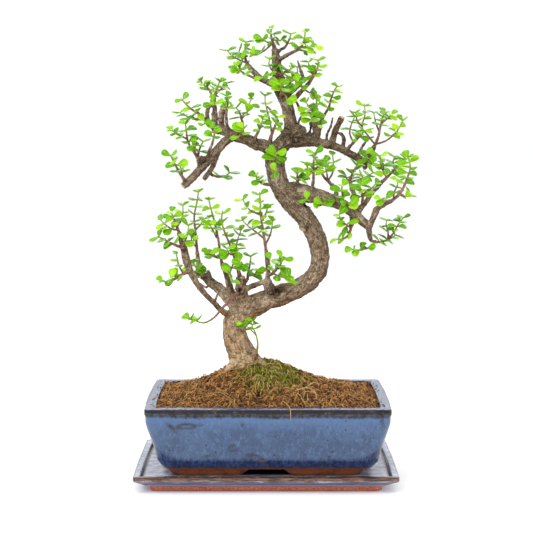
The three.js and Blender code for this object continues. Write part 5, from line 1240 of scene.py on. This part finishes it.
def cut_faces(points):
    """Which points lie on sawn ends, how far each is from its face's middle, and the dark bark round it."""
    cut, reach, scorched = np.zeros((3, len(points)))
    for name, curve_points in wood_curves:
        if name not in CUT_LIMBS:
            continue
        (before, _), (end, radius) = curve_points[-2:]
        axis = unit(end - before)
        arm = points - end
        along = arm @ axis
        across = np.linalg.norm(arm - along[:, None] * axis, axis=1)
        on_face = (along > -0.5) & (along < 2.5) & (across < radius * 0.9)
        cut[on_face] = 1
        reach[on_face] = across[on_face]
        around = band(across, radius * 1.05, radius * 0.2) * (along > -radius * 0.6) * (along < 2.5)
        scorched = np.maximum(scorched, around)
    return cut, reach, scorched


def wood_piece(look):
    coordinates = LimbCoordinates()
    slowed = np.array([1, 1, 0.25])
    soup = Soup()
    points, edges, faces = fused_wood()
    points = smoothed(points, edges, FUSE["smooth"])
    normals = normals_of(points, faces)
    grain, radius = coordinates.of(points)
    cut, reach, scorched = cut_faces(points)
    points = points + normals * ((0.25 + bark_relief(grain, radius, points)) * (1 - cut))[:, None]
    points, hollow, burl = carve(points, normals)
    soup.add(points, faces, grain=grain * slowed, hollow=hollow, burl=np.maximum(burl, scorched), cut=cut,
             under=underside(points, faces), rings=np.column_stack([reach, reach * 0, reach * 0]),
             thin=np.clip(1.3 - radius / 3.5, 0, 1))
    for _, curve_points in wood_curves:
        if is_thick(curve_points):
            continue
        curve = smooth_path(curve_points, TWIG["spacing"])
        along = np.arange(len(curve)) * TWIG["spacing"]
        curve[:, 3] *= 1 + TWIG["swell"] * np.cos(along * 2 * math.pi / TWIG["scar_every"])
        points, faces = tube_mesh(curve, TWIG["sides"])
        grain, _ = coordinates.of(points)
        points = points + normals_of(points, faces) * (shaped_noise(points, 2.0, 7)[:, None] * 0.14)
        soup.add(points, faces, grain=grain * slowed, hollow=0, burl=0, cut=0, under=underside(points, faces),
                 rings=np.zeros((len(points), 3)), thin=1)
    soup.piece("bark", look, "bark", "trunk")


wood_piece(bark_look())


# Pot, saucer and soil: rounded rectangular outlines, one above the other
SIDE_STEP = 2.0
CORNER_STEPS = 9


def outline(half_x, half_y, corner, z, form):
    """A rounded rectangle whose short sides bow out a little, walked anticlockwise from the front."""
    flat_x, flat_y = half_x - corner, half_y - corner
    long_steps = round(2 * SOIL_ROOM["top_x"] / SIDE_STEP)
    short_steps = round(2 * SOIL_ROOM["top_y"] / SIDE_STEP)
    places = []
    corners = [(1, -1), (1, 1), (-1, 1), (-1, -1)]
    for quarter, (sign_x, sign_y) in enumerate(corners):
        for step in range(CORNER_STEPS + 1):
            angle = (quarter - 1 + step / CORNER_STEPS) * math.pi / 2
            places.append((sign_x * flat_x + corner * math.cos(angle),
                           sign_y * flat_y + corner * math.sin(angle)))
        steps = short_steps if quarter % 2 == 0 else long_steps
        start = np.array(places[-1])
        following = corners[(quarter + 1) % 4]
        angle = quarter * math.pi / 2
        end = np.array([following[0] * flat_x + corner * math.cos(angle),
                        following[1] * flat_y + corner * math.sin(angle)])
        places.extend([tuple(start + (end - start) * step / steps) for step in range(1, steps)])
    bow, off_centre = form["bow"], form["off_centre"]
    return np.array([[x + bow * (1 - (y / half_y) ** 2) * (x / half_x) + off_centre, y, z]
                     for x, y in places])


def rounded_wall(wall, reach):
    """The levels of a wall with each edge cut twice, so that it turns in small steps."""
    rows = np.array(wall, float)
    for _ in range(2):
        closer = [rows[0]]
        for before, corner, after in zip(rows, rows[1:], rows[2:]):
            for other in (before, after):
                apart = np.linalg.norm((other - corner)[:2])
                closer.append(corner + (other - corner) * min(0.3, reach / apart))
        rows = np.array([*closer, rows[-1]])
        reach *= 0.5
    return rows


def wall_rings(wall, form, most):
    """Outlines of a wall's levels, with more between them so that none are further apart than most."""
    levels = [wall[0]]
    for first, second in zip(wall, wall[1:]):
        steps = max(1, math.ceil(math.hypot(*(second - first)[:2]) / most))
        levels.extend([first + (second - first) * step / steps for step in range(1, steps + 1)])
    return [outline(form["rim_x"] - inset, form["rim_y"] - inset, corner, z, form)
            for inset, z, corner in levels]


def loft(rings, top=None):
    """Closed outlines joined in turn, and closed at each end by a fan."""
    count = len(rings[0])
    faces = strips(len(rings), count)
    bottom = rings[0].mean(axis=0)
    top = rings[-1].mean(axis=0) if top is None else top
    points = np.vstack([*rings, bottom, top])
    last = (len(rings) - 1) * count
    for k in range(count):
        following = (k + 1) % count
        faces.append((len(points) - 2, following, k))
        faces.append((len(points) - 1, last + k, last + following))
    return points, faces


def saucer_piece(look):
    rim_x, rim_y, floor = SAUCER["rim_x"], SAUCER["rim_y"], SAUCER["floor"]
    top = SAUCER_WALL[-2][1]
    wall = rounded_wall([[100, 0.9, 5], [26, 0.9, 5], [24, 0, 5], *SAUCER_WALL,
                         [16, floor, 3], [90, floor, 3]], 0.8)
    points, faces = loft(wall_rings(wall, SAUCER, 2.5))
    reach = np.maximum(np.abs(points[:, 0]) - rim_x, np.abs(points[:, 1]) - rim_y)
    ragged = shaped_noise(points, 12.0, 9) * 0.4
    outer = (reach > -20) & (points[:, 2] < top - 0.3) & ((reach > -5) | (points[:, 2] < floor - 0.1))
    lip = (points[:, 2] > floor + 1.2) & ~outer
    # A dark line where the lip's slope meets the dish: glaze pooled brown in the crease, and painted shade of
    # the crease; then a brown break along the lip's top
    edge = np.clip(3 * band(reach + ragged, -8.1, 0.9), 0, 1) * (points[:, 2] < top - 0.4) * ~outer
    edge = edge + 0.75 * band(reach + ragged, -0.5, 0.5) * (points[:, 2] > top - 1.2)
    from_foot = np.abs(points[:, :2] - [FOOT["off_centre"], 0]) - [FOOT["half_x"], FOOT["half_y"]]
    shaded = np.clip(-from_foot.max(axis=1) / 9, 0, 1)
    wave = shaped_noise(points, 30.0, 1)[:, None] * np.array([0.2, 0.2, 0.3])
    wave[(points[:, 2] < 1.5) | ((points[:, 2] < floor + 1.5) & ~outer)] = 0
    side = np.abs(points[:, 0]) - rim_x > np.abs(points[:, 1]) - rim_y
    soup = Soup()
    soup.add(points + wave, faces, outside=outer, lip=lip, side=side, edge=np.clip(edge, 0, 1), shaded=shaded)
    soup.piece("saucer_glazed", look, "saucer_glaze", "saucer")


# Burst bubbles and scars of the front glaze: across, up, half width, half height, turn, and how dark
BLISTERS = [
    (-95.5, 68.5, 6.2, 2.0, -0.7, 0.95),
    (-80.7, 69.7, 8.6, 2.6, 0.05, 0.6),
    (-69.5, 71, 5.0, 1.0, 0.1, 0.5),
    (-34, 47, 3.4, 3.0, 0.4, 0.35),
    (-61, 37, 4.0, 1.0, 0.3, 0.6),
    (-10, 36, 8.0, 2.4, -0.4, 0.5),
    (-4, 33, 6.0, 2.0, 0.2, 0.35),
    (-24, 71, 1.2, 2.4, 0.0, 0.7),
    (64, 36, 1.6, 1.2, 0.0, 0.8),
    (57, 33, 1.3, 1.1, 0.0, 0.8),
    (68, 42, 1.5, 1.2, 0.0, 0.6),
    (117, 75, 1.5, 5.0, 0.2, 0.6),
]


def pot_piece(look):
    rim_x, rim_y, width, off_centre = POT["rim_x"], POT["rim_y"], POT["rim_width"], POT["off_centre"]
    low_inset = rim_x - SOIL_ROOM["low_x"]
    rim_foot = POT_TOP - POT["rim_depth"]
    wall = rounded_wall([[90, POT_UNDERSIDE, 5], *POT_WALL,
                         [width - 0.8, POT_TOP, 7], [width, POT_TOP - 0.8, 7], [width, rim_foot, 8],
                         [low_inset, POT_FLOOR, 9], [90, POT_FLOOR, 5]], 1.0)
    points, faces = loft(wall_rings(wall, POT, 2.0))
    reach = np.maximum(np.abs(points[:, 0] - off_centre) - rim_x, np.abs(points[:, 1]) - rim_y)
    outside = (points[:, 2] > POT_UNDERSIDE + 4) & (reach > -24 + 0.2 * (points[:, 2] - POT_TOP))
    normals = normals_of(points, faces)
    swell = shaped_noise(points, 42.0, 1) * 0.45 + shaped_noise(points, 13.0, 2) * 0.12
    points = points + normals * (swell * outside)[:, None]
    scars = np.zeros(len(points))
    for across, up, wide, tall, turn, dark in BLISTERS:
        side, rise = points[:, 0] - across, points[:, 2] - up
        level = (side * math.cos(turn) + rise * math.sin(turn)) / wide
        upright = (rise * math.cos(turn) - side * math.sin(turn)) / tall
        ring = np.sqrt(level ** 2 + upright ** 2)
        on_front = (points[:, 1] < 0) * outside
        form = 1.3 * (band(ring, 1.0, 0.4) - 0.8 * np.exp(-ring ** 4)) * on_front
        points = points + normals * form[:, None]
        around = band(ring, 1.0, 0.35) if wide > 3 and dark < 0.8 else np.exp(-ring ** 2)
        scars = np.maximum(scars, min(1, dark * 1.35) * around * on_front)
    corner = np.clip((np.abs(points[:, 0] - off_centre) - 60) / 55, 0, 1) ** 4
    ragged = shaped_noise(points, 10.0, 9) * 0.3
    edge = 0.7 * band(reach + ragged, -0.35, 0.5) * (points[:, 2] > POT_TOP - 1.2)
    edge = edge + 0.5 * band(reach + ragged, -width + 0.3, 0.5) * (points[:, 2] > POT_TOP - 2)
    soup = Soup()
    side = np.abs(points[:, 0] - off_centre) - rim_x > np.abs(points[:, 1]) - rim_y
    soup.add(points, faces, edge=np.clip(edge, 0, 1), blister=scars, corner=corner, side=side)
    for sign_x in (-1, 1):
        for sign_y in (-1, 1):
            soup.add(*foot_mesh(sign_x, sign_y), edge=0, blister=0, corner=0, side=0)
    soup.piece("pot_glazed", look, "pot_glaze", "pot")


def foot_mesh(sign_x, sign_y):
    """An L-shaped clay foot under one corner, which leans out, with its two ends sloped back."""
    corner = FOOT["corner"]
    height = FOOT["sunk"] + POT["foot"]

    def ring(inset, part):
        x = FOOT["half_x"] - inset + FOOT["flare_x"] * part
        y = FOOT["half_y"] - inset + FOOT["flare_y"] * part
        inner_x, inner_y = FOOT["half_x"] - FOOT["width"] + inset, FOOT["half_y"] - FOOT["width"] + inset
        gap_x, gap_y = (FOOT[name] + inset - FOOT["slope"] * part for name in ("front_gap", "side_gap"))
        places = [(gap_x + (x - corner - gap_x) * step / 12, y) for step in range(12)]
        for step in range(9):
            angle = math.pi / 2 * (1 - step / 8)
            places.append((x - corner + corner * math.cos(angle), y - corner + corner * math.sin(angle)))
        places += [(x, y - corner + (gap_y - y + corner) * step / 8) for step in range(1, 9)]
        places += [(inner_x, gap_y), (inner_x, inner_y), (gap_x, inner_y)]
        z = POT_BASE + height * part
        rows = [(sign_x * px + FOOT["off_centre"], sign_y * py, z) for px, py in places]
        return np.array(rows if sign_x * sign_y < 0 else rows[::-1])

    rings = [ring(1.2, 0), ring(0.3, 0.04), ring(0, 0.1), ring(0, 0.4), ring(0, 0.7), ring(0, 1)]
    count = len(rings[0])
    last = (len(rings) - 1) * count
    ends = [tuple(range(count))[::-1], tuple(range(last, last + count))]
    return np.vstack(rings), strips(len(rings), count) + ends


pot_piece(pot_look())
saucer_piece(saucer_look())

MOSS = dict(x=6, y=-22, reach_x=36, reach_y=36)


def moss_share(x, y):
    """How mossy the soil is at a place, from 0 to 1: a patch in front and to the right of the trunk."""
    reach = ((x - MOSS["x"]) / MOSS["reach_x"]) ** 2 + ((y - MOSS["y"]) / MOSS["reach_y"]) ** 2
    return np.clip(1.25 * np.exp(-reach * 1.3) - 0.2, 0, 1)


def soil_relief(points):
    return (shaped_noise(points, 9.0, 11) * 1.8 + shaped_noise(points, 3.6, 12) * 2.0
            + shaped_noise(points, 1.6, 13) * 0.8)


def soil_piece(look):
    low_x, low_y, corner = SOIL_ROOM["low_x"] - 2, SOIL_ROOM["low_y"] - 2, SOIL_ROOM["corner"]
    top_x, top_y = SOIL_ROOM["top_x"] - GAP, SOIL_ROOM["top_y"] - GAP
    rings = [outline(low_x, low_y, corner, POT_FLOOR + 2.4, POT),
             outline(top_x, top_y, corner, POT_TOP - POT["rim_depth"], POT),
             outline(top_x, top_y, corner, SOIL["edge"], POT)]
    edge = rings[-1]
    for part in np.linspace(0.985, 0.02, 62):
        ring = edge.copy()
        ring[:, 0] = edge[:, 0] * part + SOIL["peak_x"] * (1 - part)
        ring[:, 1] = edge[:, 1] * part
        ring[:, 2] = soil_height(ring[:, 0], ring[:, 1])
        rings.append(ring)
    top = np.array([SOIL["peak_x"], 0, soil_height(SOIL["peak_x"], 0)])
    points, faces = loft(rings, top=top)
    on_top = points[:, 2] > SOIL["edge"] - 0.5
    points[:, 2] += np.where(on_top, soil_relief(points), 0)
    moss = moss_share(points[:, 0], points[:, 1]) * np.clip(0.5 + shaped_noise(points, 7.0, 15), 0, 1)
    # Painted shade: the soil is darker in the low places of its rough relief
    low = np.where(on_top, np.clip(0.35 - 0.45 * soil_relief(points), 0, 1), 0)
    soup = Soup()
    soup.add(points, faces, moss=moss, low=low)
    soup.piece("soil_surface", look, "soil", "soil")


soil_piece(soil_look())


def rim_place(draw):
    """A seeded place on the pot's rim, close to the soil."""
    over = 0.3 + 6.5 * draw() ** 2
    off_centre = POT["off_centre"]
    if draw() < 0.62:
        return off_centre + (2 * draw() - 1) * SOIL_ROOM["top_x"], -SOIL_ROOM["top_y"] - over * 0.7
    side = -1 if draw() < 0.6 else 1
    return off_centre + side * (SOIL_ROOM["top_x"] + over), (2 * draw() - 1) * SOIL_ROOM["top_y"]


TRUNK_FOOT = dict(x=-21, reach=17)


def soil_place(draw, inset=2.0):
    """A seeded place on the soil, off the trunk."""
    while True:
        x = (2 * draw() - 1) * (SOIL_ROOM["top_x"] - inset)
        y = (2 * draw() - 1) * (SOIL_ROOM["top_y"] - inset)
        if math.hypot(x - TRUNK_FOOT["x"], y) > TRUNK_FOOT["reach"]:
            return x, y


def ground(x, y):
    """The height of the rough soil at a place."""
    place = np.array([[x, y, soil_height(x, y)]])
    return place[0, 2] + soil_relief(place)[0]


def strand(draw, x, y, length, radius, lift, sag, steps=4):
    """A thin bent strand that lies on the soil, as rows of x, y, z and radius."""
    heading = draw() * 2 * math.pi
    curl = (draw() - 0.5) * 2.6
    rows = []
    for step in range(steps + 1):
        part = step / steps
        rows.append([x, y, 0.0, radius * (1 - 0.45 * part)])
        heading += curl / steps
        x += math.cos(heading) * length / steps
        y += math.sin(heading) * length / steps
    limit_x, limit_y = SOIL_ROOM["top_x"] - 1, SOIL_ROOM["top_y"] - 1
    rows = np.array(rows)
    rows[:, 0] = np.clip(rows[:, 0], -limit_x, limit_x)
    rows[:, 1] = np.clip(rows[:, 1], -limit_y, limit_y)
    for i, row in enumerate(rows):
        part = i / steps
        rows[i, 2] = ground(row[0], row[1]) + radius * 0.4 + lift * math.sin(math.pi * min(part * sag, 1.0))
    return rows


def strands_piece(name, seed, count, look, length, radius, lift, sides=3, keep=None, sag=1.0):
    draw = seeded_random(seed)
    soup = Soup()
    made = 0
    while made < count:
        x, y = soil_place(draw)
        if keep is not None and draw() > keep(x, y):
            continue
        size = length[0] + (length[1] - length[0]) * draw() ** 1.6
        thick = radius[0] + (radius[1] - radius[0]) * draw()
        curve = strand(draw, x, y, size, thick, lift * draw(), sag)
        points, faces = tube_mesh(curve, sides, 0.3)
        # Strands that lie higher above the soil get lighter tones and those down low darker ones: painted
        # shade
        raised = (curve[:, 2] - soil_height(curve[:, 0], curve[:, 1])).mean()
        tone = np.clip(1.7 * draw() - 0.37 + 0.13 * raised, 0, 1)
        soup.add(points, faces, tone=tone)
        made += 1
    soup.piece(name, look, "soil")


coir = strand_look("coir", (18, 9, 4), (224, 164, 102), 0.9)
straw = strand_look("straw", (120, 92, 46), (210, 184, 122), 0.8)
moss_green = strand_look("moss", (20, 34, 2), (132, 150, 26), 0.8)
strands_piece("coir_fibres", 71, 4900, coir, (3, 10), (0.16, 0.38), 2.6)
strands_piece("loose_roots", 91, 150, coir, (8, 22), (0.25, 0.45), 7.0, sag=0.8)
strands_piece("straw_fibres", 131, 420, straw, (5, 16), (0.25, 0.42), 4.5,
              keep=lambda x, y: 0.08 + 0.9 * moss_share(x, y))
strands_piece("moss_blades", 211, 1500, moss_green, (2, 6), (0.22, 0.42), 3.6, keep=moss_share, sag=0.55)


# Dry roots that stand out: places across and in depth, how high above the soil, and the radius there.
# The last one hangs over the pot's front, and past the soil its heights are above the rim.
DRY_ROOTS = [
    [(-58, -6, 1, 0.3), (-46, -10, 2.5, 0.4), (-34, -16, 2, 0.5), (-24, -20, 3, 0.55), (-12, -19, 6, 0.5),
     (-8, -14, 8, 0.35)],
    [(-52, -20, 1, 0.25), (-42, -20, 3, 0.35), (-33, -18, 3, 0.35), (-27, -14, 4, 0.3)],
    [(30, -52, 1, 0.5), (37, -50, 4, 0.55), (44, -47, 4, 0.5), (51, -48, 1, 0.35)],
    [(37, -50, 4, 0.45), (40, -57, 4, 0.45), (38, -65, 1.5, 0.3)],
    [(44, -47, 4, 0.45), (49, -54, 4, 0.4), (52, -62, 3, 0.35), (50, -68, 0.5, 0.25)],
    [(40, -40, 1, 0.3), (44, -43, 4, 0.35), (50, -42, 6, 0.3), (56, -44, 8, 0.2)],
    [(-70, -50, 1, 0.3), (-60, -56, 3, 0.35), (-48, -58, 3, 0.35), (-38, -64, 1, 0.25)],
    [(17, -72, 1, 0.3), (20, -80, 3, 0.35), (22.5, -88, 2.6, 0.35), (24, -96, 1.2, 0.35),
     (24.6, -97.8, -3, 0.3), (25, -97.6, -11, 0.2)],
]


def roots_piece(look):
    soup = Soup()
    for number, rows in enumerate(DRY_ROOTS):
        on_soil = -SOIL_ROOM["top_y"]
        path = [(np.array([x, y, lift + (ground(x, y) if y > on_soil else POT_TOP)]), radius)
                for x, y, lift, radius in rows]
        points, faces = tube_mesh(smooth_path(path, 1.5), 6, 0.4)
        points = points + shaped_noise(points, 3.0, 41)[:, None] * 0.25
        soup.add(points, faces, tone=0.25 + 0.6 * (number * 0.37 % 1))
    soup.piece("dry_roots", look, "soil")


roots_piece(strand_look("dry_root", (118, 84, 48), (222, 190, 136), 0.85))


CRUMBS = dict(seed=311, on_soil=2600, on_rim=300, smallest=0.4)


def crumbs_piece(look):
    """Rough lumps on the soil, and a few smaller ones spilt on the rim."""
    draw = seeded_random(CRUMBS["seed"])
    soup = Soup()
    shape_points = np.array([[0, 0, 1], [1, 0, 0.1], [0.2, 0.9, -0.1], [-0.9, 0.4, 0.1], [-0.6, -0.8, 0],
                             [0.5, -0.8, 0.2], [0, 0, -1.0]])
    shape_faces = [(0, k, k % 5 + 1) for k in range(1, 6)] + [(6, k % 5 + 1, k) for k in range(1, 6)]
    for number in range(CRUMBS["on_soil"] + CRUMBS["on_rim"]):
        spilt = number >= CRUMBS["on_soil"]
        x, y = rim_place(draw) if spilt else soil_place(draw, 1.0)
        size = CRUMBS["smallest"] + (0.9 if spilt else 1.6) * draw() ** 2
        turn = Matrix.Rotation(draw() * 6.3, 3, Vector((draw() - 0.5, draw() - 0.5, 1)))
        stretched = shape_points * np.array([1, 0.6 + 0.4 * draw(), 0.6])
        points = np.array([turn @ Vector(corner * size) for corner in stretched])
        points += np.array([x, y, POT_TOP + 0.5 * size if spilt else ground(x, y) + 0.2 * size])
        soup.add(points, shape_faces, tone=draw())
    soup.piece("soil_crumbs", look, "soil")


crumbs_piece(strand_look("crumbs", (56, 34, 18), (158, 112, 70), 0.95))

screen_material = screen_look()
for node_name in ("drain_screen_left", "drain_screen_right"):
    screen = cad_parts[node_name]
    for material_slot in screen.material_slots:
        material_slot.material = screen_material

# Floor, light and the eye

FLOOR_HALF = 30000
floor_corners = [(x * FLOOR_HALF, y * FLOOR_HALF, 0) for x, y in ((-1, -1), (1, -1), (1, 1), (-1, 1))]
floor = linked("floor", new_mesh("floor", floor_corners, [(0, 1, 2, 3)]))
paper = Look("paper", Roughness=0.9)
paper.set(Base_Color=paper.mix(paper.noise(40, 4), (250, 250, 250), (252, 252, 252)))
floor.data.materials.append(paper.material)

SKY_STRENGTH = 1.06
world = bpy.data.worlds.new("studio")
world.use_nodes = True
sky = world.node_tree.nodes["Background"].inputs
sky["Color"].default_value = (1, 1, 1, 1)
sky["Strength"].default_value = SKY_STRENGTH
bpy.context.scene.world = world


def softbox(name, place, target, size, watts):
    """A rectangular lamp at a place in metres, turned to its target."""
    lamp = bpy.data.lights.new(name, "AREA")
    lamp.shape = "RECTANGLE"
    lamp.size, lamp.size_y = size
    lamp.energy = watts
    holder = linked(name, lamp)
    holder.location = place
    holder.rotation_euler = (Vector(target) - Vector(place)).to_track_quat("-Z", "Y").to_euler()


softbox("key", (-0.9, -1.3, 1.3), (0, 0, 0.22), (0.9, 0.9), 22)
softbox("fill", (1.3, -1.0, 0.7), (0, 0, 0.2), (1.2, 1.2), 8)
softbox("back", (0.3, 1.5, 1.4), (0, 0, 0.25), (1.4, 0.8), 14)

# The camera fitted to the photo: place in metres, lens in millimetres, and how far it looks down in radians
CAMERA = dict(place=(0.00041, -1.69, 0.3756), lens=108.1, sensor=36, down=0.09)
camera = linked("camera", bpy.data.cameras.new("camera"))
camera.data.lens = CAMERA["lens"]
camera.data.sensor_width = CAMERA["sensor"]
camera.data.clip_start, camera.data.clip_end = 0.1, 100
camera.location = CAMERA["place"]
camera.rotation_euler = (math.pi / 2 - CAMERA["down"], 0, 0)
bpy.context.scene.camera = camera
bpy.context.scene.view_settings.view_transform = "Standard"
